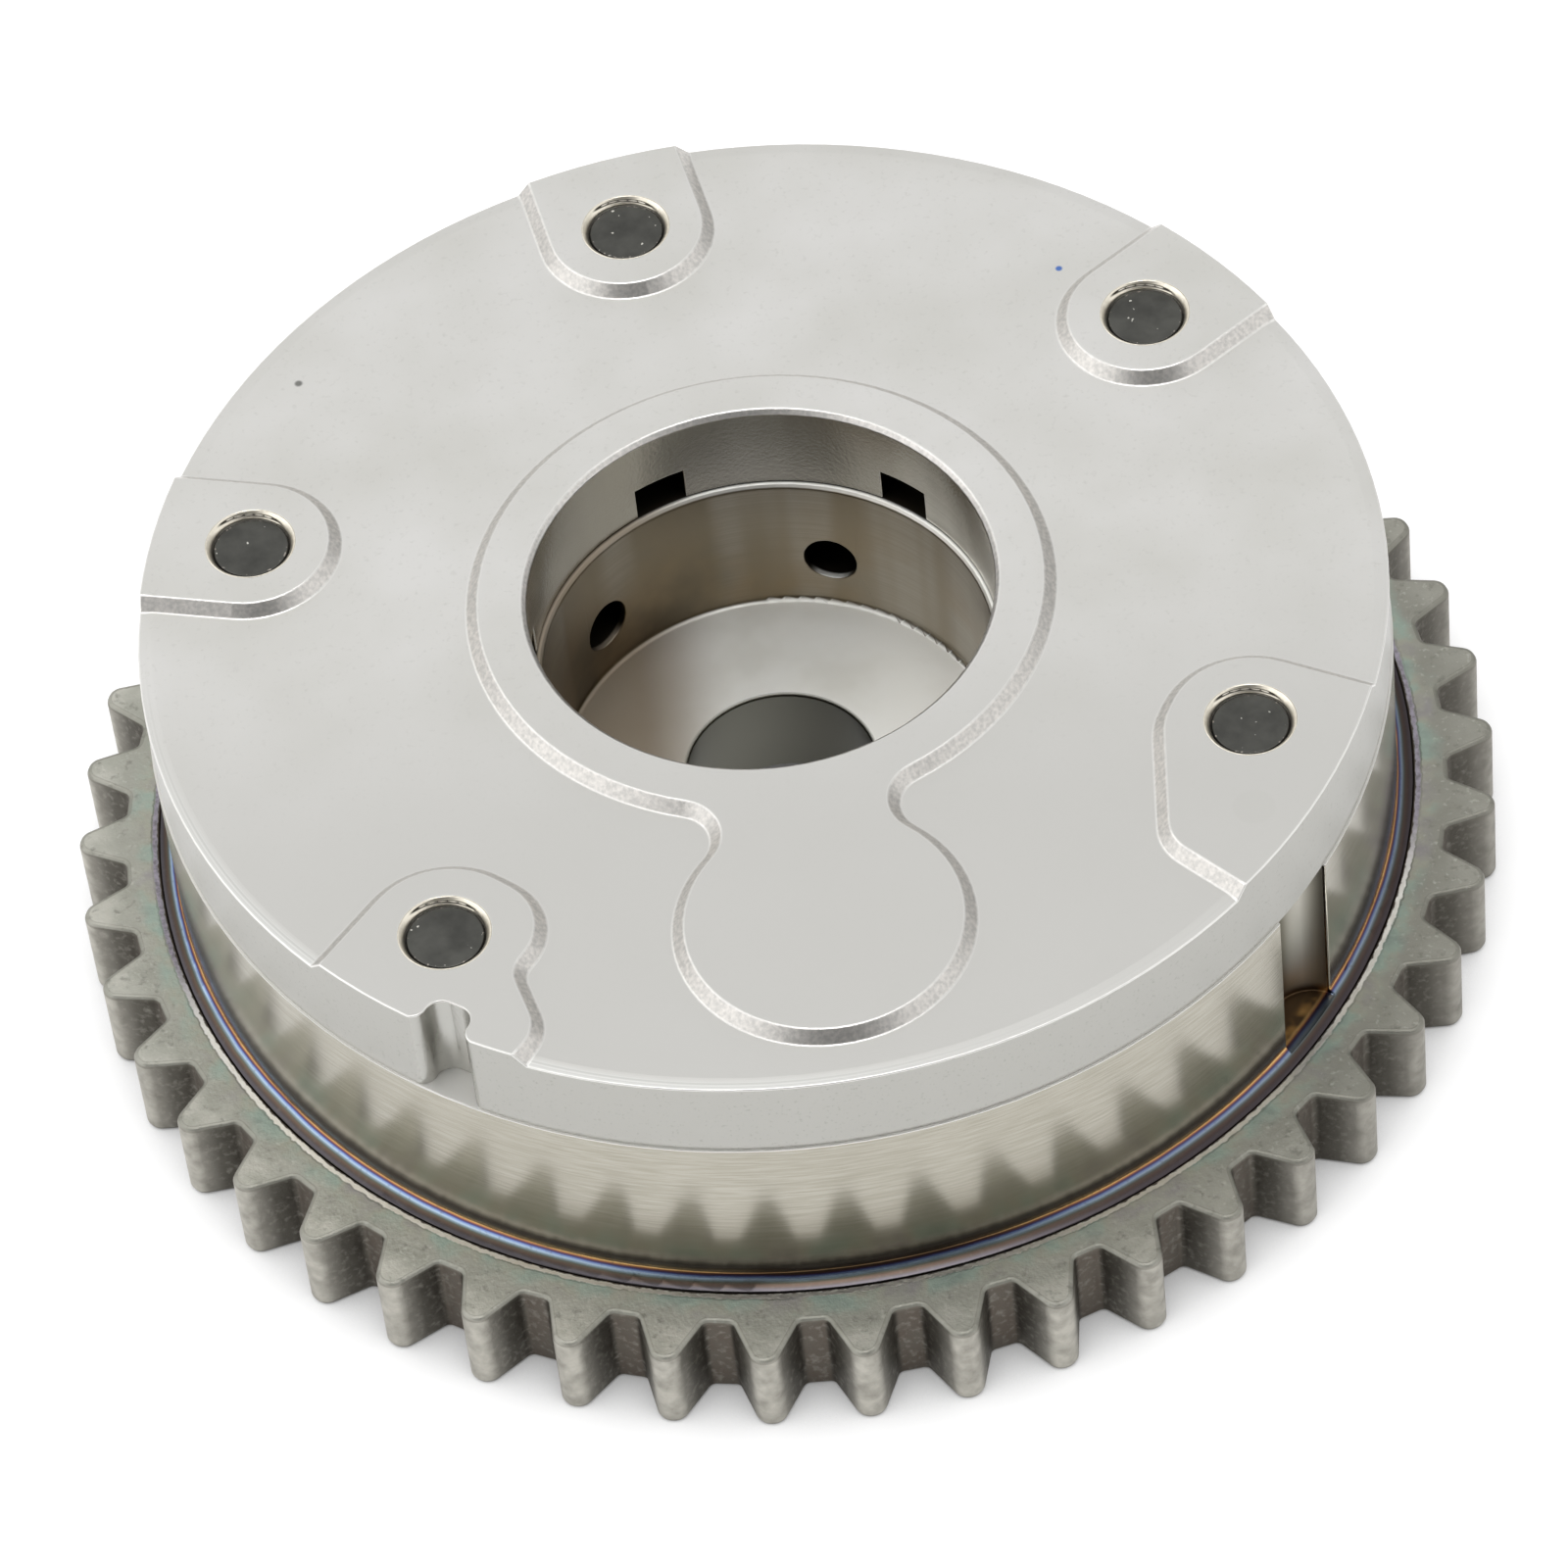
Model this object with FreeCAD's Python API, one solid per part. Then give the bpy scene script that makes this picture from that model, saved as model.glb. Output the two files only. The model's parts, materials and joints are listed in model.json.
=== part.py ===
import FreeCAD, Part
import math
import os
from FreeCAD import Vector

os.makedirs("parts", exist_ok=True)

# Cam phaser, millimetres. The axis of rotation is Z, z = 0 is the underside of the chain teeth,
# and the camshaft side with the cast cover is on top. Angles run counter-clockwise from +X.

# Chain teeth, for an inverted-tooth chain, and the least wall under their roots
chain_pitch = 6.35
sprocket_rim = 2.25
tooth_depth = 3.05
tooth_tip_w = 1.4
tooth_root_w = 1.75
tooth_tip_round = 1.05
tooth_root_round = 0.5
first_tooth_deg = -18.45
sprocket_t = 6.85
sprocket_edge = 0.1

# Front plate, let into the underside of the housing
plate_recess = 0.6
plate_t = 5.0
plate_gap = 0.05
plate_chamfer = 0.3
relief_w = 9.0
relief_depth = 0.5

# Housing
cover_inset = 0.15
neck_w = 1.05
neck_h = 0.65
neck_sag = 0.08
skirt_t = 2.7
housing_chamfer = 0.4
housing_wall = 4.55
chamber_depth = 14.0
chamber_round = 1.0

# Rotor
rotor_h = 14.3
boss_r = 12.8
boss_inset = 0.8
recess_depth = 11.25
recess_edge = 0.25
recess_round = 0.35
centre_hole_r = 6.2
centre_hole_edge = 0.12
bolt_seat_rim = 2.3
bolt_seat_depth = 0.8
oil_hole_r = 1.8
oil_hole_drop = 7.05
vane_deg = 12.0
vane_round = 1.2
retard_travel = 5.0
advance_travel = 25.0
stop_margin = 0.8
vane_from_bolt = 22.5
oil_hole_from_vane = 12.1

# Running clearances between what turns and what stands still
axial_gap = 0.05
radial_gap = 0.3
journal_gap = 0.06

# Seal strips and their leaf springs
seal_w = 1.5
seal_h = 2.4
seal_side_gap = 0.05
seal_end_gap = 0.1
seal_face_gap = 0.1
leaf_t = 0.2
leaf_rise = 0.4
leaf_w = 1.3
leaf_l = 11.0

# Cover on the camshaft side
cover_r = 40.0
cover_t = 6.0
pad_h = 0.75
rim_slope_w = 0.9
rim_slope_h = 0.08
journal_r = 15.0
journal_step = 0.4
journal_edge = 0.3
land_w = 3.15
groove_w = 3.5
groove_h = 2.5
groove_past_hub = 3.0
groove_from_bolt = 12.2

# Bolts, countersunk pads and dowel
bolt_pitch_deg = 64.4
bolt_first_deg = -28.4
bolt_count = 5
bolt_rim = 0.39
bolt_r = 2.5
bolt_gap = 0.2
bolt_end_drop = 0.45
bolt_end_chamfer = 0.12
sink_w = 0.4
sink_h = 0.65
head_w = 1.75
head_h = 2.6
head_gap = 0.35
head_chamfer = 0.4
socket_r = 1.65
socket_lobe_r = 0.5
socket_depth = 1.5
pad_r = 5.1
dowel_r = 1.25
dowel_inset = 1.08
dowel_l = 7.0
dowel_bolt = 3

# Larger pad beside the first bolt: its far inner corner
long_pad_corner_in = 6.1
long_pad_corner_deg = -46.6
long_pad_corner_round = 3.0
long_pad_turn = 1.85

# Notched pad at the last bolt, and the notch in the rim
wing_root = 0.1
wing_round = 2.2
wing_tip_out = 3.0
wing_w = 4.2
wing_tip_round = 2.6
wing_inner_less = 1.2
notch_deg = -124.7
notch_w = 3.0
notch_depth = 2.15
notch_floor_w = 0.8
notch_side = 0.05
notch_lip_drop = 0.05

# Pocket milled in the housing wall
pocket_sharp_deg = -42.3
pocket_depth = 2.6
pocket_below_wall = 0.35
pocket_cutter_r = 2.7

# Lock pin, its spring, retainer and bush
lock_wall = 0.56
lock_deg = -86.9
lock_pad_w = 3.7
lock_neck_round = 3.0
lock_neck_least = 5.0
pin_r = 3.5
pin_gap = 0.05
pin_l = 8.0
pin_wall = 1.35
pin_crown = 2.7
pin_edge = 0.4
bush_wall = 1.25
bush_h = 3.4
bush_slack = 0.25
retainer_lip = 0.7
retainer_h = 1.8
spring_wire_r = 0.25
spring_gap = 0.2
spring_turns = 7
lock_groove_w = 2.4
lock_groove_h = 1.2

# Cutters run this far past what they cut
past = 1.0

# Pad outlines end this far outside the rim, and are then trimmed to it
beyond = 3.0

# Two levels or points nearer than this are the same
same = 1e-6

# Levels and radii worked out from the sizes above
wall_r = cover_r + cover_inset
flange_r = wall_r + neck_w
least_tip_r = flange_r + sprocket_rim + tooth_depth
tooth_count = math.ceil(math.pi / math.asin(chain_pitch / (2 * least_tip_r)))
tip_r = chain_pitch / (2 * math.sin(math.pi / tooth_count))
root_r = tip_r - tooth_depth
plate_r = flange_r - skirt_t
chamber_r = wall_r - housing_wall
hub_r = chamber_r - chamber_depth
recess_r = journal_r - journal_step
bolt_seat_r = boss_r - bolt_seat_rim
head_r = bolt_r + head_w
sink_r = bolt_r + sink_w
bolt_circle_r = plate_r - plate_gap - bolt_rim - head_gap - head_r
chamber_z = plate_recess + plate_t
rotor_z = chamber_z + axial_gap
rotor_top = rotor_z + rotor_h
joint_z = rotor_top + axial_gap
cover_z = joint_z + cover_t
pad_z = cover_z + pad_h
land_r = journal_r + land_w
lobe_r = hub_r + radial_gap
vane_r = chamber_r - radial_gap
slot_w = seal_w + 2 * seal_side_gap
spring_room = leaf_t + leaf_rise
vane_slot_r = chamber_r - seal_face_gap - seal_h - spring_room
lobe_slot_r = hub_r + seal_face_gap + seal_h + spring_room
dowel_circle_r = (lobe_slot_r + bolt_circle_r) / 2 - dowel_inset
head_z = plate_recess + head_gap
seat_z = head_z + head_h
bolt_angles = [bolt_first_deg + bolt_pitch_deg * i for i in range(bolt_count)]
wide_gap_deg = 360 - bolt_pitch_deg * (bolt_count - 1)
chamber_start = vane_from_bolt - vane_deg / 2 - retard_travel - stop_margin
chamber_end = bolt_pitch_deg - vane_from_bolt - vane_deg / 2 - advance_travel - stop_margin
vane_widths = [vane_deg] * (bolt_count - 1) + [vane_deg + wide_gap_deg - bolt_pitch_deg]
vane_angles = [a + vane_from_bolt + (w - vane_deg) / 2 for a, w in zip(bolt_angles, vane_widths)]
lobe_mid_deg = (chamber_start - chamber_end) / 2
pin_bore_r = pin_r - pin_wall
spring_r = pin_bore_r - spring_gap - spring_wire_r
retainer_r = pin_r + retainer_lip
bush_r = pin_r + bush_slack + bush_wall
lock_pad_r = bush_r + lock_pad_w
lock_circle_r = vane_slot_r - lock_wall - retainer_r
lock_x = lock_circle_r * math.cos(math.radians(lock_deg))
lock_y = lock_circle_r * math.sin(math.radians(lock_deg))
retainer_top = rotor_z + retainer_h


def polar(r, deg, z=0.0):
    """Point at radius r and angle deg about the axis."""
    return Vector(r * math.cos(math.radians(deg)), r * math.sin(math.radians(deg)), z)


def local(r, deg, out, across, z=0.0):
    """Point measured from the one at (r, deg): outwards along the radius, then across it."""
    return polar(r + out, deg, z) + polar(across, deg + 90)


def cylinder(r, z0, z1, centre=Vector(0, 0, 0)):
    return Part.makeCylinder(r, z1 - z0, Vector(centre.x, centre.y, z0))


def cone(r0, r1, z0, z1, centre=Vector(0, 0, 0)):
    return Part.makeCone(r0, r1, z1 - z0, Vector(centre.x, centre.y, z0))


def extrude(wire, z0, z1):
    """Solid from a closed flat wire drawn at z = 0."""
    face = Part.Face(wire)
    face.translate(Vector(0, 0, z0))
    return face.extrude(Vector(0, 0, z1 - z0))


def rounded(points, radii):
    """Closed wire through the corner points, each corner rounded by its own radius."""
    edges = []
    count = len(points)
    starts = []
    ends = []
    for i in range(count):
        corner = points[i]
        back = (points[i - 1] - corner).normalize()
        ahead = (points[(i + 1) % count] - corner).normalize()
        if radii[i] == 0:
            starts.append(corner)
            ends.append(corner)
            edges.append(None)
            continue
        half = math.acos(max(-1.0, min(1.0, back.dot(ahead)))) / 2
        run = radii[i] / math.tan(half)
        middle = (back + ahead).normalize()
        centre = corner + middle * (radii[i] / math.sin(half))
        starts.append(corner + back * run)
        ends.append(corner + ahead * run)
        edges.append(Part.Arc(starts[i], centre - middle * radii[i], ends[i]).toShape())
    path = []
    for i in range(count):
        if edges[i] is not None:
            path.append(edges[i])
        following = starts[(i + 1) % count]
        if ends[i].distanceToPoint(following) > same:
            path.append(Part.LineSegment(ends[i], following).toShape())
    return Part.Wire(path)


def sector(r0, r1, a0, a1, z0, z1, corner_round=0.0):
    """Block between two radii and two angles, its outer corners rounded where asked."""
    mid = (a0 + a1) / 2
    wire = Part.Wire([
        Part.LineSegment(polar(r0, a0), polar(r1, a0)).toShape(),
        Part.Arc(polar(r1, a0), polar(r1, mid), polar(r1, a1)).toShape(),
        Part.LineSegment(polar(r1, a1), polar(r0, a1)).toShape(),
        Part.Arc(polar(r0, a1), polar(r0, mid), polar(r0, a0)).toShape()])
    block = extrude(wire, z0, z1)
    if corner_round == 0:
        return block
    corners = [e for e in block.Edges if is_upright_at(e, r1)]
    return block.makeFillet(corner_round, corners)


def is_upright_at(edge, r):
    """True for a vertical edge at radius r."""
    a, b = edge.Vertexes[0].Point, edge.Vertexes[-1].Point
    on_line = math.hypot(a.x - b.x, a.y - b.y) < same and abs(a.z - b.z) > same
    return on_line and abs(math.hypot(a.x, a.y) - r) < same


def radial_box(r0, r1, deg, width, z0, z1):
    """Straight bar along the radius at angle deg."""
    box = Part.makeBox(r1 - r0, width, z1 - z0, Vector(r0, -width / 2, z0))
    box.rotate(Vector(0, 0, 0), Vector(0, 0, 1), deg)
    return box


def sprocket():
    """Ring of chain teeth with flat tips and rounded corners, pressed on the housing flange."""
    step = 360 / tooth_count
    points = []
    radii = []
    root_half = math.degrees(tooth_root_w / 2 / root_r)
    for i in range(tooth_count):
        middle = first_tooth_deg - step * i
        tip_side = tooth_tip_w / 2
        points += [polar(root_r, middle + step / 2 - root_half), local(tip_r, middle, 0, tip_side),
                   local(tip_r, middle, 0, -tip_side), polar(root_r, middle - step / 2 + root_half)]
        radii += [tooth_root_round, tooth_tip_round, tooth_tip_round, tooth_root_round]
    body = extrude(rounded(points, radii), 0, sprocket_t)
    bore = cylinder(flange_r, -past, sprocket_t + past)
    edge = cone(flange_r, flange_r + sprocket_edge, sprocket_t - sprocket_edge, sprocket_t)
    return body.cut(bore).cut(edge)


def housing():
    """Turned shell with five lobes inwards, a thin neck above the teeth and a skirt below."""
    slant = math.hypot(neck_w, neck_h)
    neck_mid = Vector((wall_r + flange_r) / 2 - neck_sag * neck_h / slant, 0,
                      sprocket_t + neck_h / 2 - neck_sag * neck_w / slant)
    outline = Part.Wire([
        Part.LineSegment(Vector(lobe_r, 0, chamber_z), Vector(plate_r, 0, chamber_z)).toShape(),
        Part.LineSegment(Vector(plate_r, 0, chamber_z), Vector(plate_r, 0, housing_chamfer)).toShape(),
        Part.LineSegment(Vector(plate_r, 0, housing_chamfer),
                         Vector(plate_r + housing_chamfer, 0, 0)).toShape(),
        Part.LineSegment(Vector(plate_r + housing_chamfer, 0, 0), Vector(flange_r, 0, 0)).toShape(),
        Part.LineSegment(Vector(flange_r, 0, 0), Vector(flange_r, 0, sprocket_t)).toShape(),
        Part.Arc(Vector(flange_r, 0, sprocket_t), neck_mid, Vector(wall_r, 0, sprocket_t + neck_h)).toShape(),
        Part.LineSegment(Vector(wall_r, 0, sprocket_t + neck_h), Vector(wall_r, 0, joint_z)).toShape(),
        Part.LineSegment(Vector(wall_r, 0, joint_z), Vector(lobe_r, 0, joint_z)).toShape(),
        Part.LineSegment(Vector(lobe_r, 0, joint_z), Vector(lobe_r, 0, chamber_z)).toShape()])
    body = Part.Face(outline).revolve(Vector(0, 0, 0), Vector(0, 0, 1), 360)
    low, high = chamber_z - past, joint_z + past
    cuts = []
    for i, angle in enumerate(bolt_angles):
        gap = wide_gap_deg if i == bolt_count - 1 else bolt_pitch_deg
        cuts.append(sector(lobe_r - past, chamber_r, angle + chamber_start, angle + gap - chamber_end,
                           low, high, chamber_round))
        cuts.append(cylinder(bolt_r + bolt_gap, low, high, polar(bolt_circle_r, angle)))
        cuts.append(radial_box(lobe_r - past, lobe_slot_r, angle + lobe_mid_deg, slot_w, low, high))
    cuts.append(cylinder(dowel_r, joint_z - dowel_l / 2, high, dowel_centre()))
    cuts.append(wall_pocket())
    return body.cut(cuts)


def wall_pocket():
    """Milled pocket: a sharp radial wall on one side, a round run-out on the other."""
    low = sprocket_t + neck_h - pocket_below_wall
    inner = wall_r - pocket_depth
    middle = local(inner + pocket_cutter_r, pocket_sharp_deg, 0, pocket_cutter_r)
    cutter = cylinder(pocket_cutter_r, low, joint_z, middle)
    side = local(inner, pocket_sharp_deg, 0, 0)
    block = Part.makeBox(pocket_depth + past, pocket_cutter_r, joint_z - low)
    block.rotate(Vector(0, 0, 0), Vector(0, 0, 1), pocket_sharp_deg)
    block.translate(Vector(side.x, side.y, low))
    return cutter.fuse(block)


def front_plate():
    """Plate on the hidden side, with counterbores for the bolt heads and a bearing for the rotor."""
    body = cylinder(plate_r - plate_gap, plate_recess, chamber_z)
    rim = [e for e in body.Edges if abs(e.BoundBox.ZMax - plate_recess) < same]
    body = body.makeChamfer(plate_chamfer, rim)
    bearing_r = boss_r + journal_gap
    cuts = [cylinder(bearing_r, 0, chamber_z + past)]
    cuts.append(cylinder(bearing_r + relief_w, 0, plate_recess + relief_depth))
    for angle in bolt_angles:
        centre = polar(bolt_circle_r, angle)
        cuts.append(cylinder(bolt_r + bolt_gap, 0, chamber_z + past, centre))
        cuts.append(cylinder(head_r + head_gap, 0, seat_z, centre))
    return body.cut(cuts)


def rotor():
    """Hub with vanes, recess for the camshaft nose, radial oil holes and the lock pin's bore."""
    body = cylinder(hub_r, rotor_z, rotor_top)
    boss = cylinder(boss_r, boss_inset, rotor_z + past)
    vanes = []
    for angle, width in zip(vane_angles, vane_widths):
        vanes.append(sector(hub_r - past, vane_r, angle - width / 2, angle + width / 2,
                            rotor_z, rotor_top, vane_round))
    body = body.fuse([boss] + vanes)
    floor = rotor_top - recess_depth
    recess = cylinder(recess_r, floor, rotor_top + past)
    recess = recess.makeFillet(recess_round, [e for e in recess.Edges if abs(e.BoundBox.ZMax - floor) < same])
    cuts = [recess, cone(recess_r, recess_r + recess_edge, rotor_top - recess_edge, rotor_top),
            cylinder(centre_hole_r, 0, rotor_top),
            cone(centre_hole_r, centre_hole_r + centre_hole_edge, floor - centre_hole_edge, floor),
            cylinder(bolt_seat_r, 0, boss_inset + bolt_seat_depth)]
    hole_z = rotor_top - oil_hole_drop
    for angle, width in zip(vane_angles, vane_widths):
        hole_deg = angle + width / 2 - vane_deg / 2 + oil_hole_from_vane
        cuts.append(Part.makeCylinder(oil_hole_r, hub_r - recess_r + 2 * past,
                                      polar(recess_r - past, hole_deg, hole_z), polar(1, hole_deg)))
        cuts.append(radial_box(vane_slot_r, vane_r + past, angle, slot_w, rotor_z - past, rotor_top + past))
    lock = Vector(lock_x, lock_y, 0)
    cuts.append(cylinder(pin_r + pin_gap, rotor_z, rotor_top + past, lock))
    cuts.append(cylinder(retainer_r, rotor_z - past, retainer_top, lock))
    return body.cut(cuts)


def leaf_spring():
    """Bowed strip lying along Z at x = 0, its ends at x = 0 and its crown towards +X."""
    half = leaf_l / 2
    inner = Part.Arc(Vector(0, 0, -half), Vector(leaf_rise, 0, 0), Vector(0, 0, half)).toShape()
    outer = Part.Arc(Vector(leaf_t, 0, half), Vector(leaf_rise + leaf_t, 0, 0),
                     Vector(leaf_t, 0, -half)).toShape()
    ends = [Part.LineSegment(Vector(0, 0, half), Vector(leaf_t, 0, half)).toShape(),
            Part.LineSegment(Vector(leaf_t, 0, -half), Vector(0, 0, -half)).toShape()]
    strip = Part.Face(Part.Wire([inner, ends[0], outer, ends[1]])).extrude(Vector(0, leaf_w, 0))
    strip.translate(Vector(0, -leaf_w / 2, rotor_z + rotor_h / 2))
    return strip


def vane_seal(deg):
    """Strip in a vane's tip, running on the chamber wall."""
    top = chamber_r - seal_face_gap
    return radial_box(top - seal_h, top, deg, seal_w, rotor_z + seal_end_gap, rotor_top - seal_end_gap)


def vane_leaf(deg):
    """Leaf spring between a vane's slot and its seal."""
    strip = leaf_spring()
    strip.translate(Vector(vane_slot_r, 0, 0))
    strip.rotate(Vector(0, 0, 0), Vector(0, 0, 1), deg)
    return strip


def lobe_seal(deg):
    """Strip in a lobe's tip, running on the hub."""
    low = hub_r + seal_face_gap
    return radial_box(low, low + seal_h, deg, seal_w, chamber_z + seal_end_gap, joint_z - seal_end_gap)


def lobe_leaf(deg):
    """Leaf spring between a lobe's slot and its seal."""
    strip = leaf_spring()
    strip.rotate(Vector(0, 0, 0), Vector(0, 0, 1), 180)
    strip.translate(Vector(lobe_slot_r, 0, 0))
    strip.rotate(Vector(0, 0, 0), Vector(0, 0, 1), deg)
    return strip


def sloped_pad(wire):
    """Raised pad from its outline at the top face, with sides that slope out and down to the rim's level."""
    slope = pad_h + rim_slope_h
    foot = wire.makeOffset2D(slope)
    solid = extrude(foot, cover_z - past, pad_z)
    top = [e for e in solid.Edges if e.BoundBox.ZMin > pad_z - same]
    return solid.makeChamfer(slope, top)


def neck_round():
    """Radius beside the keyhole's neck, grown where the neck would fall under its least width."""
    half = lock_neck_least / 2
    lean = (land_r - lock_pad_r) / lock_circle_r
    chord = (lock_circle_r ** 2 + land_r ** 2 - lock_pad_r ** 2) / (2 * lock_circle_r)
    b = land_r - half - chord * lean
    c = chord ** 2 - land_r ** 2 + half ** 2
    return max(lock_neck_round, c / (b + math.sqrt(b ** 2 - lean ** 2 * c)))


def keyhole_outline():
    """Land round the bore and the round pad over the lock bush, joined by a filleted neck."""
    fillet = neck_round()
    r0 = land_r + fillet
    r1 = lock_pad_r + fillet
    along = (r0 ** 2 - r1 ** 2 + lock_circle_r ** 2) / (2 * lock_circle_r)
    side = math.sqrt(r0 ** 2 - along ** 2)
    pad = polar(lock_circle_r, lock_deg)
    valleys = [local(along, lock_deg, 0, side), local(along, lock_deg, 0, -side)]
    land_points = [v * (land_r / r0) for v in valleys]
    pad_points = [pad + (v - pad) * (lock_pad_r / r1) for v in valleys]
    waists = [local(along, lock_deg, 0, sign * (side - fillet)) for sign in (1, -1)]
    return Part.Wire([
        Part.Arc(land_points[0], polar(land_r, lock_deg + 180), land_points[1]).toShape(),
        Part.Arc(land_points[1], waists[1], pad_points[1]).toShape(),
        Part.Arc(pad_points[1], local(lock_circle_r, lock_deg, lock_pad_r, 0), pad_points[0]).toShape(),
        Part.Arc(pad_points[0], waists[0], land_points[0]).toShape()])


def bolt_pad_outline(index):
    """Pad round one bolt: a round inner end and sides that run out over the rim."""
    deg = bolt_angles[index]
    out = cover_r - bolt_circle_r + beyond

    def at(u, v):
        return local(bolt_circle_r, deg, u, v)

    if index == 0:
        corner = polar(cover_r - long_pad_corner_in, long_pad_corner_deg)
        end = polar(cover_r + beyond, long_pad_corner_deg)
        points = [at(out, pad_r), at(-pad_r, pad_r), at(-pad_r, -long_pad_turn), corner, end]
        return rounded(points, [0, pad_r, pad_r, long_pad_corner_round, 0])
    if index == bolt_count - 1:
        across = pad_r + wing_w
        points = [at(out, -pad_r), at(out, across), at(wing_tip_out, across),
                  at(wing_root, pad_r), at(-pad_r, pad_r), at(-pad_r, -pad_r)]
        return rounded(points, [0, 0, wing_tip_round, wing_round, pad_r - wing_inner_less, pad_r])
    return rounded([at(out, pad_r), at(-pad_r, pad_r), at(-pad_r, -pad_r), at(out, -pad_r)],
                   [0, pad_r, pad_r, 0])


def rim_notch():
    """U-shaped notch through the cover's rim, with rounded lips."""
    half = notch_w / 2
    rim = cover_r - notch_lip_drop
    deep = cover_r - notch_depth
    wide = half + beyond
    floor_round = half - notch_floor_w / 2
    lip_round = rim - deep - floor_round - notch_side
    corners = [(cover_r + beyond, wide), (rim, wide), (rim, half), (deep, half),
               (deep, -half), (rim, -half), (rim, -wide), (cover_r + beyond, -wide)]
    points = [local(0, notch_deg, u, v) for u, v in corners]
    radii = [0, 0, lip_round, floor_round, floor_round, lip_round, 0, 0]
    return extrude(rounded(points, radii), joint_z - past, pad_z + past)


def cam_side_cover():
    """Cast cover: raised pads on top, threaded bolt holes, oil grooves and lock seat underneath."""
    rim_z = cover_z - rim_slope_h
    body = cylinder(cover_r, joint_z, rim_z).fuse(cone(cover_r, cover_r - rim_slope_w, rim_z, cover_z))
    pads = [sloped_pad(keyhole_outline())]
    within = cylinder(cover_r, joint_z, pad_z)
    for i in range(bolt_count):
        pads.append(sloped_pad(bolt_pad_outline(i)).common(within))
    body = body.fuse(pads)
    cuts = [cylinder(journal_r, joint_z - past, pad_z + past),
            cone(journal_r, journal_r + journal_edge, pad_z - journal_edge, pad_z), rim_notch()]
    groove_end = hub_r + groove_past_hub
    for angle in bolt_angles:
        centre = polar(bolt_circle_r, angle)
        cuts.append(cylinder(bolt_r, joint_z - past, pad_z + past, centre))
        cuts.append(cone(bolt_r, sink_r, pad_z - sink_h, pad_z, centre))
        deg = angle + groove_from_bolt
        roof = joint_z + groove_h
        cuts.append(radial_box(journal_r - past, groove_end, deg, groove_w, joint_z - past, roof))
        cuts.append(cylinder(groove_w / 2, joint_z - past, roof, polar(groove_end, deg)))
    lock = Vector(lock_x, lock_y, 0)
    cuts.append(cylinder(bush_r, joint_z - past, joint_z + bush_h, lock))
    cuts.append(lock_groove())
    cuts.append(cylinder(dowel_r, joint_z - past, joint_z + dowel_l / 2, dowel_centre()))
    return body.cut(cuts)


def lock_groove():
    """Oil groove under the neck, from the bore to the lock pin."""
    return radial_box(journal_r - past, lock_circle_r, lock_deg, lock_groove_w,
                      joint_z - past, joint_z + lock_groove_h)


def lock_bush():
    """Hard ring in the cover that the lock pin drops into."""
    lock = Vector(lock_x, lock_y, 0)
    ring = cylinder(bush_r, joint_z, joint_z + bush_h, lock)
    hole = cylinder(pin_r + bush_slack, joint_z - past, joint_z + bush_h + past, lock)
    return ring.cut([hole, lock_groove()])


def lock_pin():
    """Hollow pin, its crown level with the rotor's face."""
    lock = Vector(lock_x, lock_y, 0)
    body = cylinder(pin_r, rotor_top - pin_l, rotor_top, lock)
    crown = [e for e in body.Edges if e.BoundBox.ZMin > rotor_top - same]
    body = body.makeChamfer(pin_edge, crown)
    return body.cut(cylinder(pin_bore_r, rotor_top - pin_l - past, rotor_top - pin_crown, lock))


def lock_pin_spring():
    """Coil spring between the retainer and the pin's crown."""
    low = retainer_top + spring_wire_r
    high = rotor_top - pin_crown - spring_wire_r
    helix = Part.makeHelix((high - low) / spring_turns, high - low, spring_r)
    section = Part.Wire(Part.makeCircle(spring_wire_r, Vector(spring_r, 0, 0), Vector(0, 1, 0)))
    coil = Part.Wire(helix.Edges).makePipeShell([section], True, True)
    coil.translate(Vector(lock_x, lock_y, low))
    return coil


def spring_retainer():
    """Cap that closes the pin's bore and carries the spring."""
    lock = Vector(lock_x, lock_y, 0)
    return cylinder(retainer_r, rotor_z, retainer_top, lock)


def dowel_centre():
    return polar(dowel_circle_r, bolt_angles[dowel_bolt])


def cover_dowel():
    """Dowel that sets the cover on the housing."""
    return cylinder(dowel_r, joint_z - dowel_l / 2, joint_z + dowel_l / 2, dowel_centre())


def cover_bolt(deg):
    """Bolt from the front plate up through the housing, with a six-lobe socket in its head."""
    centre = polar(bolt_circle_r, deg)
    end_z = pad_z - bolt_end_drop
    head = cylinder(head_r, head_z, seat_z, centre)
    head = head.makeChamfer(head_chamfer, [e for e in head.Edges if e.BoundBox.ZMax < head_z + same])
    shank = cylinder(bolt_r, head_z + socket_depth, end_z, centre)
    shank = shank.makeChamfer(bolt_end_chamfer, [e for e in shank.Edges if e.BoundBox.ZMin > end_z - same])
    body = head.fuse(shank)
    cuts = [cylinder(socket_r, head_z - past, head_z + socket_depth, centre)]
    for i in range(6):
        lobe = centre + polar(socket_r, deg + 60 * i)
        cuts.append(cylinder(socket_lobe_r, head_z - past, head_z + socket_depth, lobe))
    return body.cut(cuts)


def cover_bolts():
    return Part.makeCompound([cover_bolt(deg) for deg in bolt_angles])


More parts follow.
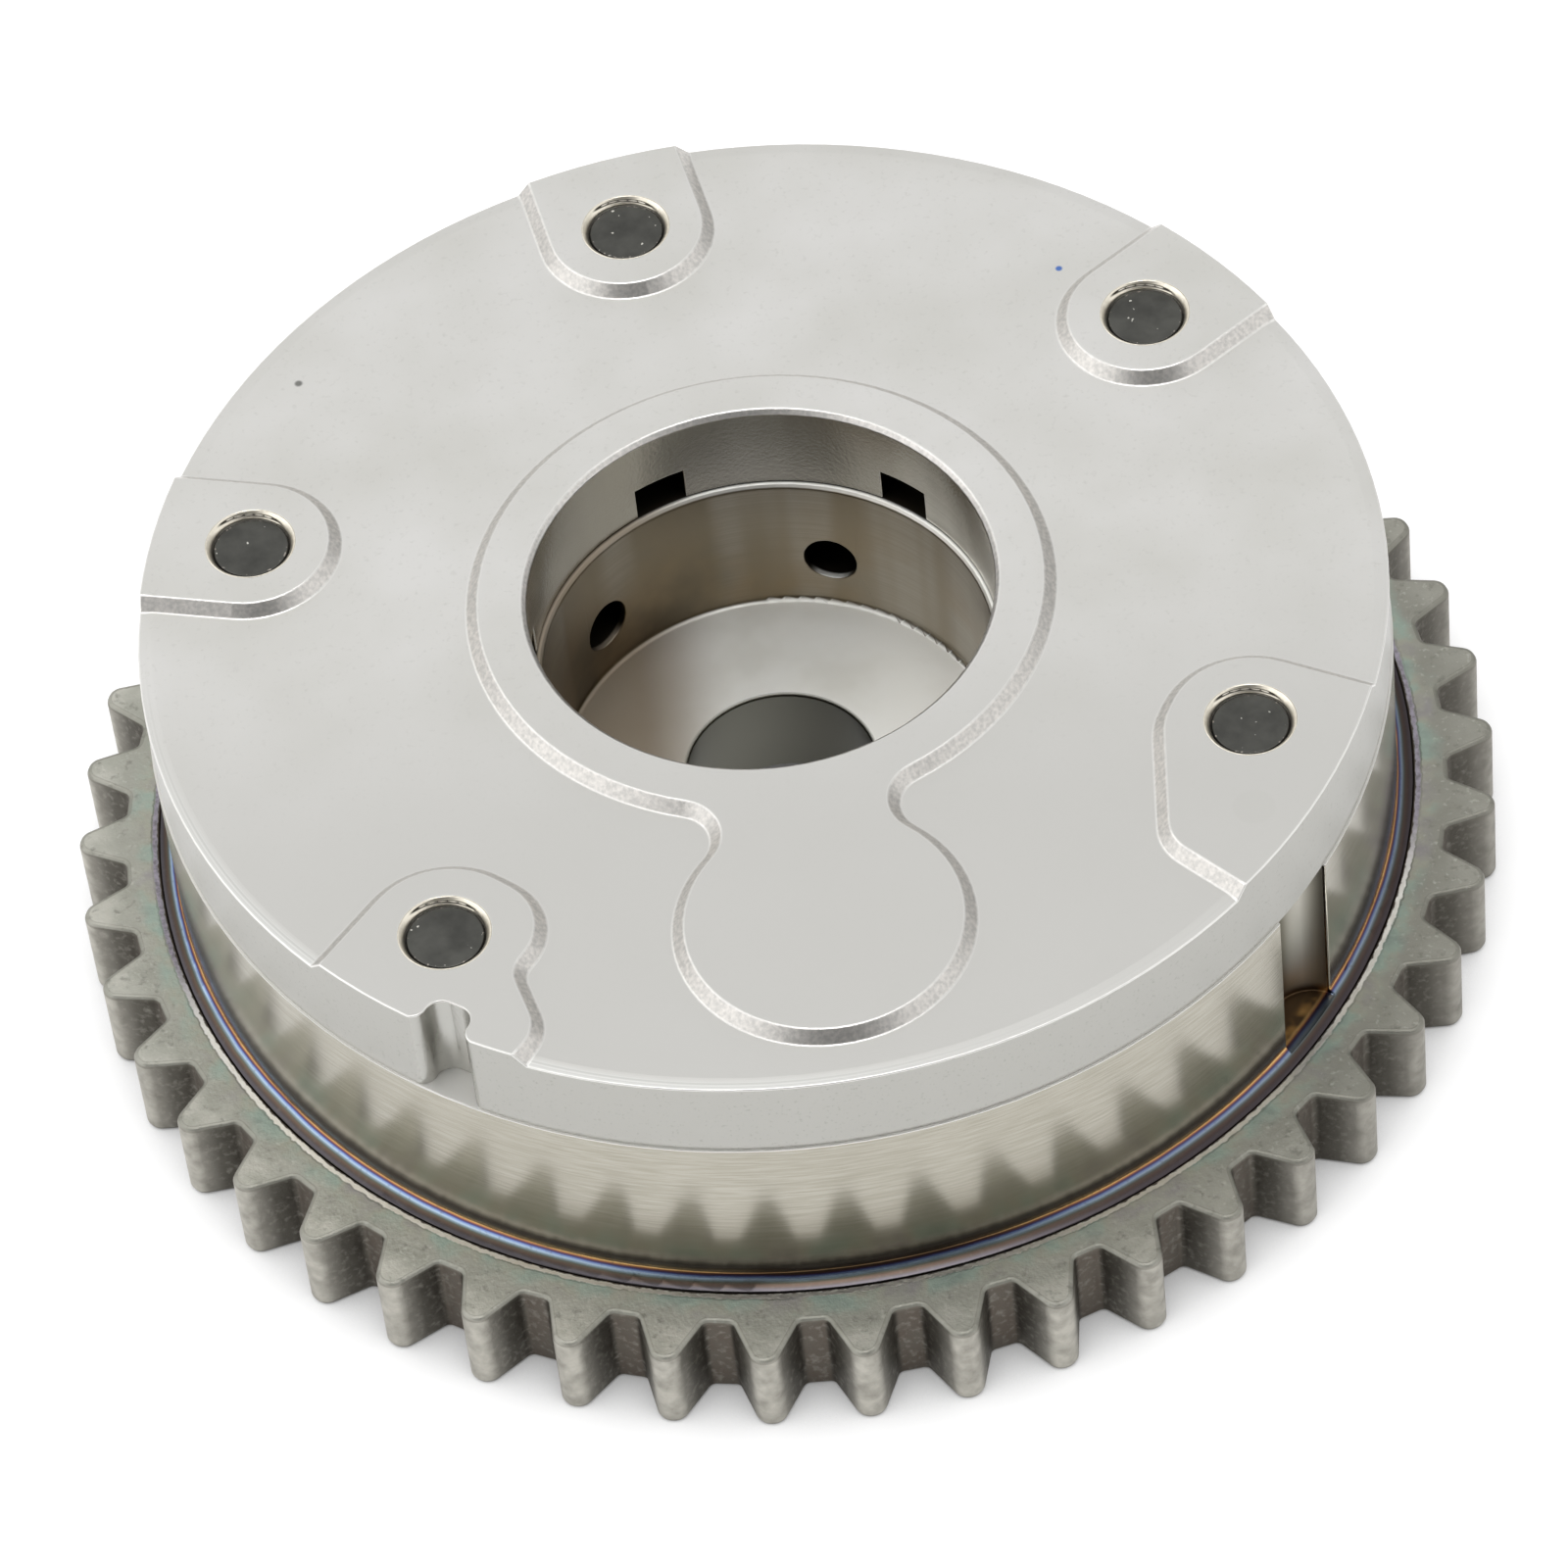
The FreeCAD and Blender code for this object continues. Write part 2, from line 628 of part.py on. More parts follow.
parts = {
    "sprocket": sprocket(),
    "housing": housing(),
    "front_plate": front_plate(),
    "rotor": rotor(),
    "cam_side_cover": cam_side_cover(),
    "lock_bush": lock_bush(),
    "lock_pin": lock_pin(),
    "lock_pin_spring": lock_pin_spring(),
    "spring_retainer": spring_retainer(),
    "cover_dowel": cover_dowel(),
    "cover_bolts": cover_bolts(),
}
for number, (vane, bolt) in enumerate(zip(vane_angles, bolt_angles), start=1):
    parts[f"vane_seal_{number}"] = vane_seal(vane)
    parts[f"vane_leaf_{number}"] = vane_leaf(vane)
    parts[f"lobe_seal_{number}"] = lobe_seal(bolt + lobe_mid_deg)
    parts[f"lobe_leaf_{number}"] = lobe_leaf(bolt + lobe_mid_deg)

for name, shape in parts.items():
    solids = len(shape.Solids)
    print(f"{name}: {solids} solid, volume {shape.Volume:.1f} mm3, valid {shape.isValid()}")
    shape.exportStep(f"parts/{name}.step")
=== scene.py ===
# %% [markdown]
# # A cam phaser, and how its metals are made to look real
#
# The part comes packed from its CAD model as named nodes that ride on three bodies: the housing with
# everything bolted to it, the rotor that turns inside, and the lock pin. This notebook gives each of
# them the finish of the real thing. The shapes are not moved: a node either keeps its mesh and gets a
# material, or is replaced by a merged copy whose edges are broken as a real edge is.

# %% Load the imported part
import json
import math

import bmesh
import bpy
import numpy as np
from mathutils import Matrix, Vector

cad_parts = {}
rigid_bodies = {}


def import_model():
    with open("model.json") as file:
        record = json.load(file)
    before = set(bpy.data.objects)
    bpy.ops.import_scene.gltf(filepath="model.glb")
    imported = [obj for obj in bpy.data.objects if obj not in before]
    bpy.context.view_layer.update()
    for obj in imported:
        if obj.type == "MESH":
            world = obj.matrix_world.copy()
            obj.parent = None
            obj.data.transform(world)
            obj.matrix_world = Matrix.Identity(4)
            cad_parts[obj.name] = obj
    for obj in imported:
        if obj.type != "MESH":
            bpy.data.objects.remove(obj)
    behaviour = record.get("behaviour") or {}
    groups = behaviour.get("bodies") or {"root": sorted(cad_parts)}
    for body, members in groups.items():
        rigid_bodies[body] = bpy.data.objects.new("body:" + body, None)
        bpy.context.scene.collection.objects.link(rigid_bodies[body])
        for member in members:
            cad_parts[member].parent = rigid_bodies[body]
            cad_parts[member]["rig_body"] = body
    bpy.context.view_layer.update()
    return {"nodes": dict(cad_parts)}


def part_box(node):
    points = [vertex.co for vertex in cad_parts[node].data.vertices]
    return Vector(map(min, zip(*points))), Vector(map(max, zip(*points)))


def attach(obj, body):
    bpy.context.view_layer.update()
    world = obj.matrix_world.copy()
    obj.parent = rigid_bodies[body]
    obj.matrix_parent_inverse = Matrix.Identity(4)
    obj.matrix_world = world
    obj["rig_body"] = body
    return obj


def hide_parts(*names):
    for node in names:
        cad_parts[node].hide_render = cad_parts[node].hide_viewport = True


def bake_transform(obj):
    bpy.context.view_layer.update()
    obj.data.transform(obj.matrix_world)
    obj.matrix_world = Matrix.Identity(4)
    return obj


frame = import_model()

mm = 0.001

# %% [markdown]
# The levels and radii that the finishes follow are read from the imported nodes, so that a colour band
# or a mark stays on its surface if the part is packed again with other sizes. What the boxes of the
# nodes can't tell, such as the run of the heat tint, is a named size in millimetres.

# %% Levels and radii of the part
seal_gap = 0.1 * mm
pad_rise = 0.75 * mm
cover_h = 4.0 * mm
sprocket_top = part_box("sprocket")[1].z
joint_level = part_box("lobe_seal_1")[1].z + seal_gap
pad_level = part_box("cam_side_cover")[1].z
field_level = pad_level - pad_rise
rotor_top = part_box("rotor")[1].z
cover_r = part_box("cam_side_cover")[1].x
flange_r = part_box("housing")[1].x
tip_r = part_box("sprocket")[1].y
print("teeth up to", round(sprocket_top / mm, 2), "cover joint at", round(joint_level / mm, 2),
      "pads at", round(pad_level / mm, 2), "mm")

# %% Places that no box tells
bore_r = 15.0 * mm
recess_r = 14.6 * mm
centre_hole_r = 6.25 * mm
bolt_circle_r = 33.46 * mm
bolt_r = 2.5 * mm
bolt_degrees = [-28.4 + 64.4 * i for i in range(5)]
notch_deg = -124.7
pocket_deg = -42.3
pocket_w = 5.4 * mm


def on_circle(radius, degrees, level):
    """Point at a radius and an angle about the part's axis."""
    return (radius * math.cos(math.radians(degrees)), radius * math.sin(math.radians(degrees)), level)


bolt_axes = np.array([on_circle(bolt_circle_r, deg, 0)[:2] for deg in bolt_degrees])
print("bolts at", np.round(bolt_axes / mm, 1).tolist())

# %% [markdown]
# ## Camera
#
# The object was looked at from 50 degrees above, from far away with a long lens, with the camera
# rolled a little. The lens is in millimetres on Blender's 36 mm sensor, and the camera is placed by
# what it sees: a point on the axis, level with the cover's field, lies almost at the picture's middle.

# %% Place the camera
camera_elevation = math.radians(49.91)
camera_roll = math.radians(-6.79)
camera_distance = 517.51 * mm
aim_right = -1.48 * mm
aim_down = -12.18 * mm
aimed_at = Vector((0, 0, 26 * mm))
lens_mm, sensor_mm = 186.22, 36

forward = Vector((0, math.cos(camera_elevation), -math.sin(camera_elevation)))
level_right = Vector((1, 0, 0))
level_up = level_right.cross(forward)
right = math.cos(camera_roll) * level_right + math.sin(camera_roll) * level_up
up = math.cos(camera_roll) * level_up - math.sin(camera_roll) * level_right
place = aimed_at - aim_right * right + aim_down * up - camera_distance * forward

lens = bpy.data.cameras.new("portrait_lens")
lens.lens, lens.sensor_width = lens_mm, sensor_mm
lens.clip_start, lens.clip_end = 0.01, 20
camera = bpy.data.objects.new("portrait_camera", lens)
camera.matrix_world = Matrix.Translation(place) @ Matrix((right, up, -forward)).transposed().to_4x4()
bpy.context.scene.collection.objects.link(camera)
bpy.context.scene.camera = camera
print("camera at", [round(x, 4) for x in place], "m")

# %% [markdown]
# ## Small helpers
#
# Colours are written as the sRGB hex values that an eye-dropper gives, and one function makes them
# linear. One function adds a shader node: its settings are the node's own attributes, and each input
# takes a number, a hex colour, an output, or a node, which stands for its first output. A pattern's
# scale is one over its grain size. A soft step is a Map Range node with smooth interpolation: its value
# rises from 0 to 1 as input 0 goes from input 1 to input 2, which may also be the smaller of the two.

# %% Colour and node helpers
smooth = {"interpolation_type": "SMOOTHSTEP"}
rgba = {"data_type": "RGBA"}


def linear(hex_colour):
    """The sRGB hex colour as the linear colour that shaders work in."""
    shares = [int(hex_colour[i:i + 2], 16) / 255 for i in (1, 3, 5)]
    return [s / 12.92 if s <= 0.04045 else ((s + 0.055) / 1.055) ** 2.4 for s in shares] + [1.0]


def add(tree, kind, inputs=None, stops=None, **settings):
    """Adds a node with its settings and links; inputs go by name or number, stops fill a colour ramp."""
    made = tree.nodes.new("ShaderNode" + kind)
    for name, value in settings.items():
        setattr(made, name, value)
    for key, value in (inputs or {}).items():
        socket = made.inputs[key] if isinstance(key, int) else next(
            s for s in made.inputs if s.enabled and s.name == key)
        if isinstance(value, bpy.types.Node):
            value = next(s for s in value.outputs if s.enabled)
        if isinstance(value, bpy.types.NodeSocket):
            tree.links.new(value, socket)
        else:
            socket.default_value = linear(value) if isinstance(value, str) else value
    for i, (position, colour) in enumerate(stops or []):
        points = made.color_ramp.elements
        point = points[i] if i < len(points) else points.new(position)
        point.position = position
        point.color = linear(colour)
    return made


def per(size_mm):
    """Noise scale, in repeats per metre, for a grain of so many millimetres."""
    return 1000 / size_mm


def start_material(name, metallic, roughness):
    """A named material with its shader's typical values set; returns it, its tree and its shader."""
    material = bpy.data.materials.new(name)
    material.use_nodes = True
    tree = material.node_tree
    shader = tree.nodes["Principled BSDF"]
    shader.inputs["Metallic"].default_value = metallic
    shader.inputs["Roughness"].default_value = roughness
    return material, tree, shader


def finish_shader(tree, shader, colour, roughness=None, normal=None):
    """Links what a material worked out to its shader."""
    for name, node in (("Base Color", colour), ("Roughness", roughness), ("Normal", normal)):
        if node is not None:
            tree.links.new(next(s for s in node.outputs if s.enabled), shader.inputs[name])


print("white is", linear("#FFFFFF"))

# %% [markdown]
# Some patterns come back in every metal here. A mottle is cloud or grain: noise of one size whose middle
# range is stretched. Cutter lines are noise squeezed along one direction, as a turning tool leaves them.
# Rings are noise over the distance from the axis. A mark is round, with a soft edge. Which way a surface
# faces and how far it lies from the axis tell one finish from another, because each finish belongs to
# one direction of cut.

# %% Patterns that the finishes share
far_away = 1.0


def mottle(tree, where, size_mm, low=0.35, high=0.65, least=0.0, most=1.0, detail=2.0):
    """Noise of one grain size; its range from low to high is stretched to run from least to most."""
    noise = add(tree, "TexNoise", {"Vector": where, "Scale": per(size_mm), "Detail": detail})
    return add(tree, "MapRange", {0: noise, 1: low, 2: high, 3: least, 4: most})


def cutter_lines(tree, where, line_mm, run_mm):
    """Noise as fine as line_mm along the axis and as long as run_mm round it, from 0 to 1."""
    squeezed = add(tree, "Mapping", {"Vector": where, "Scale": (per(run_mm), per(run_mm), per(line_mm))})
    noise = add(tree, "TexNoise", {"Vector": squeezed, "Scale": 1.0, "Detail": 3.0})
    return add(tree, "MapRange", {0: noise, 1: 0.35, 2: 0.65})


def off_axis(tree, where):
    """Distance of the surface from the part's axis: the length of (x, y)."""
    flat = add(tree, "VectorMath", {0: where, 1: (1, 1, 0)}, operation="MULTIPLY")
    return add(tree, "VectorMath", {0: flat}, operation="LENGTH")


def facing_up(tree):
    """The z of the surface's normal: 1 where it is level, 0 on a wall and -1 underneath."""
    return add(tree, "SeparateXYZ", {0: add(tree, "NewGeometry").outputs["Normal"]}).outputs["Z"]


def turned_rings(tree, where, line_mm):
    """Rings that a facing cut leaves: noise over the distance from the axis alone, from 0 to 1."""
    noise = add(tree, "TexNoise", {"W": off_axis(tree, where), "Scale": per(line_mm), "Detail": 3.0},
                noise_dimensions="1D")
    return add(tree, "MapRange", {0: noise, 1: 0.3, 2: 0.7})


def both(tree, *shares):
    """Product of the shares, which is 1 only where all of them are."""
    product = shares[0]
    for share in shares[1:]:
        product = add(tree, "Math", {0: product, 1: share}, operation="MULTIPLY")
    return product


def between(tree, value, low, high, soft):
    """1 from low to high and 0 outside, with soft ends."""
    rise = add(tree, "MapRange", {0: value, 1: low - soft, 2: low + soft}, **smooth)
    return both(tree, rise, add(tree, "MapRange", {0: value, 1: high + soft, 2: high - soft}, **smooth))


def round_mark(tree, where, centre, radius_mm, soft_mm, most=1.0):
    """most inside a round mark and 0 outside it, with a soft edge."""
    away = add(tree, "VectorMath", {0: where, 1: centre}, operation="DISTANCE")
    return add(tree, "MapRange", {0: away, 1: (radius_mm + soft_mm) * mm, 2: (radius_mm - soft_mm) * mm,
                                  4: most}, **smooth)


def from_bolts(tree, where):
    """Distance from the nearest bolt's axis: the least of the five distances in the (x, y) plane."""
    flat = add(tree, "VectorMath", {0: where, 1: (1, 1, 0)}, operation="MULTIPLY")
    nearest = far_away
    for x, y in bolt_axes:
        away = add(tree, "VectorMath", {0: flat, 1: (x, y, 0)}, operation="DISTANCE")
        nearest = add(tree, "Math", {0: away, 1: nearest}, operation="MINIMUM")
    return nearest


print("a 0.5 mm grain has scale", per(0.5))

# %% [markdown]
# ## Cast aluminium of the cover
#
# The cover is a die casting. Its flat faces are milled, so they are an even, slightly cloudy light grey
# with a very fine grain. The sloped sides of the raised pads are left as cast, with a soft sandy skin.
# The rim and the bore are turned, and the notch in the rim is cut by a shiny mill. The front of the
# cover is painted darker as shade, and on the rim's front left the turned rings are painted light as a
# highlight. The bore is painted darker on its far side as shade, with upright streaks of painted
# reflection. Where two faces meet the edge is rubbed, and painted bright as a highlight, most of all at
# the rim. The underside beside the bore, which shows through the oil windows, is painted dark as shade.
# The metal is bare, so it is all metallic, and its grey comes from its colour.

# %% Material: die-cast aluminium, milled on top and turned at the rim
pin_mark_at = (28.75 * mm, -23.0 * mm, pad_level)
blue_dot_at = (22.0 * mm, 25.2 * mm, field_level)
dark_pit_at = (-28.5 * mm, 23.0 * mm, field_level)


def cast_aluminium():
    material, tree, shader = start_material("aluminium_die_cast_and_milled", 1.0, 0.4)
    where = add(tree, "TexCoord").outputs["Object"]
    across, depth, height = add(tree, "SeparateXYZ", {0: where}).outputs
    facing = facing_up(tree)
    radius = off_axis(tree, where)
    broken_strip = add(tree, "Attribute", attribute_name="broken_edge").outputs["Fac"]
    from_bolt = from_bolts(tree, where)
    flat = add(tree, "MapRange", {0: facing, 1: 0.90, 2: 0.985}, **smooth)
    upright = add(tree, "MapRange", {0: facing, 1: 0.35, 2: 0.12}, **smooth)

    cloud = mottle(tree, where, 9.0, 0.3, 0.7, detail=3.0)
    milled = add(tree, "Mix", {"Factor": cloud, "A": "#E2E1DE", "B": "#D8D7D2"}, **rgba)
    speck = mottle(tree, where, 0.35, 0.60, 0.80, 0.0, 0.30)
    mark = round_mark(tree, where, pin_mark_at, 1.35, 0.12)
    dot = round_mark(tree, where, blue_dot_at, 0.22, 0.08)
    pit = round_mark(tree, where, dark_pit_at, 0.25, 0.1, 0.8)
    rim = add(tree, "MapRange", {0: radius, 1: cover_r - 0.8 * mm, 2: cover_r - 0.5 * mm}, **smooth)
    # The front is painted darker as shade, on the milled top and on the sides.
    shaded_front = add(tree, "MapRange", {0: depth, 1: 4 * mm, 2: -22 * mm, 4: 0.9}, **smooth)
    lower = add(tree, "MapRange", {0: height, 1: field_level + 0.05 * mm, 2: field_level + 0.02 * mm},
                **smooth)
    leftwards = add(tree, "MapRange", {0: across, 1: 16 * mm, 2: -6 * mm, 3: 0.1}, **smooth)
    rings = turned_rings(tree, where, 0.22)
    lit_rim_rings = add(tree, "Mix", {"Factor": rings, "A": "#EEEEEB", "B": "#CBCBC7"}, **rgba)
    # On the rim's front left the turned rings are painted light as a highlight.
    rim_highlight = both(tree, rim, shaded_front, lower, leftwards)
    for share, tone in ((speck, "#BDBCB6"), (mark, "#CACAC2"), (dot, "#5C7FC4"), (pit, "#5E5E5A"),
                        (shaded_front, "#D1D0CC"), (rim_highlight, lit_rim_rings)):
        milled = add(tree, "Mix", {"Factor": share, "A": milled, "B": tone}, **rgba)
    skin = mottle(tree, where, 0.28, 0.35, 0.70, 0.0, 0.9, 3.0)
    cast = add(tree, "Mix", {"Factor": skin, "A": "#C6C4C0", "B": "#E4E0DB"}, **rgba)

    fine = cutter_lines(tree, where, 0.16, 20.0)
    bore = add(tree, "Mix", {"Factor": fine, "A": "#DAD7D0", "B": "#D0CDC5"}, **rgba)
    stain = mottle(tree, where, 7.0, 0.45, 0.70, 0.0, 0.6, 3.0)
    # The bore's far side is painted darker as shade.
    far_side = add(tree, "MapRange", {0: depth, 1: 2 * mm, 2: 12 * mm, 4: 0.8}, **smooth)
    not_right = add(tree, "MapRange", {0: across, 1: 13 * mm, 2: 5 * mm}, **smooth)
    shaded = both(tree, far_side, not_right)
    # Upright streaks in the bore are painted reflections.
    upright_reflections = both(tree, cutter_lines(tree, where, 60.0, 4.0), 0.35)
    for share, tone in ((stain, "#A79F93"), (shaded, "#A9A59C"), (upright_reflections, "#948E84")):
        bore = add(tree, "Mix", {"Factor": share, "A": bore, "B": tone}, **rgba)
    blotch = mottle(tree, where, 1.4, 0.30, 0.72, detail=4.0)
    side = add(tree, "Mix", {"Factor": blotch, "A": "#C6C6C3", "B": "#BFBEBA"}, **rgba)
    pores = mottle(tree, where, 0.24, 0.62, 0.72, 0.0, 0.55)
    inside = add(tree, "MapRange", {0: radius, 1: bore_r + 1.5 * mm, 2: bore_r + 0.6 * mm}, **smooth)
    for share, tone in ((shaded_front, "#B5B4AF"), (pores, "#9C9B95"), (inside, bore)):
        side = add(tree, "Mix", {"Factor": share, "A": side, "B": tone}, **rgba)

    # Broken edges are rubbed, and painted bright as a highlight, most of all at the rim.
    edge_highlight = add(tree, "MapRange", {0: radius, 1: cover_r - 0.6 * mm, 2: cover_r - 0.3 * mm, 3: 0.25, 4: 0.7},
                 **smooth)
    off_flat = add(tree, "Math", {0: 1.0, 1: flat}, operation="SUBTRACT")
    sunk = add(tree, "MapRange", {0: from_bolt, 1: bolt_r + 0.7 * mm, 2: bolt_r + 0.45 * mm}, **smooth)
    underside = pad_level - cover_h
    # The underside beside the bore, seen through the oil windows, is painted dark as shade.
    under_shade = add(tree, "MapRange", {0: height, 1: underside + 0.1 * mm, 2: underside - 0.1 * mm}, **smooth)
    buried = between(tree, radius, bore_r + 0.15 * mm, 2 * bore_r, 0.05 * mm)
    colour = add(tree, "Mix", {"Factor": flat, "A": cast, "B": milled}, **rgba)
    for share, tone in ((upright, side), (both(tree, broken_strip, edge_highlight), "#F4F3F0"),
                        (both(tree, sunk, off_flat), "#F3EEE2"), (both(tree, under_shade, buried), "#2B2824")):
        colour = add(tree, "Mix", {"Factor": share, "A": colour, "B": tone}, **rgba)

    cut = round_mark(tree, where, on_circle(cover_r, notch_deg, joint_level + 3 * mm), 5.2, 0.3)
    inner = add(tree, "MapRange", {0: radius, 1: cover_r - 0.02 * mm, 2: cover_r - 0.06 * mm}, **smooth)
    rough = add(tree, "Mix", {"Factor": upright, "A": 0.40, "B": 0.36})
    rough = add(tree, "Mix", {"Factor": both(tree, inside, upright), "A": rough, "B": 0.24})
    rough = add(tree, "Mix", {"Factor": both(tree, cut, upright, inner), "A": rough, "B": 0.26})

    sand = both(tree, mottle(tree, where, 0.25, 0.2, 0.8, detail=3.0), off_flat)
    sandy = add(tree, "Bump", {"Height": sand, "Distance": 0.006 * mm, "Strength": 1.0})
    grain = mottle(tree, where, 0.18, 0.2, 0.8)
    relief = add(tree, "Bump", {"Height": grain, "Distance": 0.0018 * mm, "Strength": 1.0, "Normal": sandy})
    finish_shader(tree, shader, colour, rough, relief)
    return material


# %% [markdown]
# A thread starts in each countersink. The tool left its cone bright and a little yellow, and the first
# turn of the thread is painted dark as shade in its groove. Both are kept in a finish of their own for
# the thread mouths made below, where an attribute tells how deep in the groove a point lies.

# %% Material: countersunk aluminium with painted shade in the thread groove
def countersunk_aluminium():
    material, tree, shader = start_material("aluminium_countersunk", 1.0, 0.32)
    where = add(tree, "TexCoord").outputs["Object"]
    grain = mottle(tree, where, 0.3, 0.3, 0.7, detail=3.0)
    colour = add(tree, "Mix", {"Factor": grain, "A": "#F7F1E2", "B": "#E6DFCF"}, **rgba)
    groove = add(tree, "Attribute", attribute_name="groove").outputs["Fac"]
    # The groove is painted dark as shade.
    shade_line = add(tree, "MapRange", {0: groove, 1: 0.25, 2: 0.7, 4: 0.95}, **smooth)
    colour = add(tree, "Mix", {"Factor": shade_line, "A": colour, "B": "#2A2620"}, **rgba)
    relief = add(tree, "Bump", {"Height": grain, "Distance": 0.002 * mm, "Strength": 1.0})
    finish_shader(tree, shader, colour, normal=relief)
    return material


# %% [markdown]
# ## Turned steel of the housing
#
# The housing is turned and polished, so it is smooth enough to mirror the chain teeth, with short fine
# lines running round it. At its foot the sprocket is joined to it by heat, which has left a rainbow in
# the oxide: straw nearest the wall, then red-purple, blue and teal, and a wide grey-brown band where the
# steel was hottest. The colours follow the way along the neck, in from the sprocket and up to the wall,
# so a ramp over that way paints them, with a little noise so that no band is perfect. The straw is painted
# dark brown at the front as shade, and the wide band is darker on the right. Above the neck the tint fades
# into the bare wall, which is darker towards its bottom. The milled pocket is painted with shade beside
# its sharp wall and a highlight on its round side, and is straw at its foot. It and the ledge that the
# notch lays bare are duller than the turned wall, and the ledge is painted bright as a highlight.

# %% Material: turned steel with heat tint at the neck
tint_run = 2.4 * mm
heat_tint = [
    (0.00, "#2E2B28"), (0.03, "#4E4B4E"), (0.10, "#4D494D"), (0.16, "#484240"), (0.22, "#51443D"),
    (0.28, "#5A4E44"), (0.34, "#58594F"), (0.40, "#76868C"), (0.46, "#A3B6CA"), (0.53, "#7E92BE"),
    (0.57, "#4C5080"), (0.61, "#5E4258"), (0.65, "#A0704E"), (0.71, "#E0B578"), (0.78, "#DDBB84"),
    (0.85, "#8E7A5E"), (0.92, "#A9A08E"), (1.00, "#BDB9AE")]
# Painted shade beside the pocket's sharp wall and a painted highlight on its round side.
pocket_shade_and_highlight = [
    (0.0, "#3B352B"), (0.50, "#4D4637"), (0.62, "#8A8679"), (0.84, "#DAD7CE"), (0.94, "#B5B1A5"),
    (1.0, "#8F8A7D")]


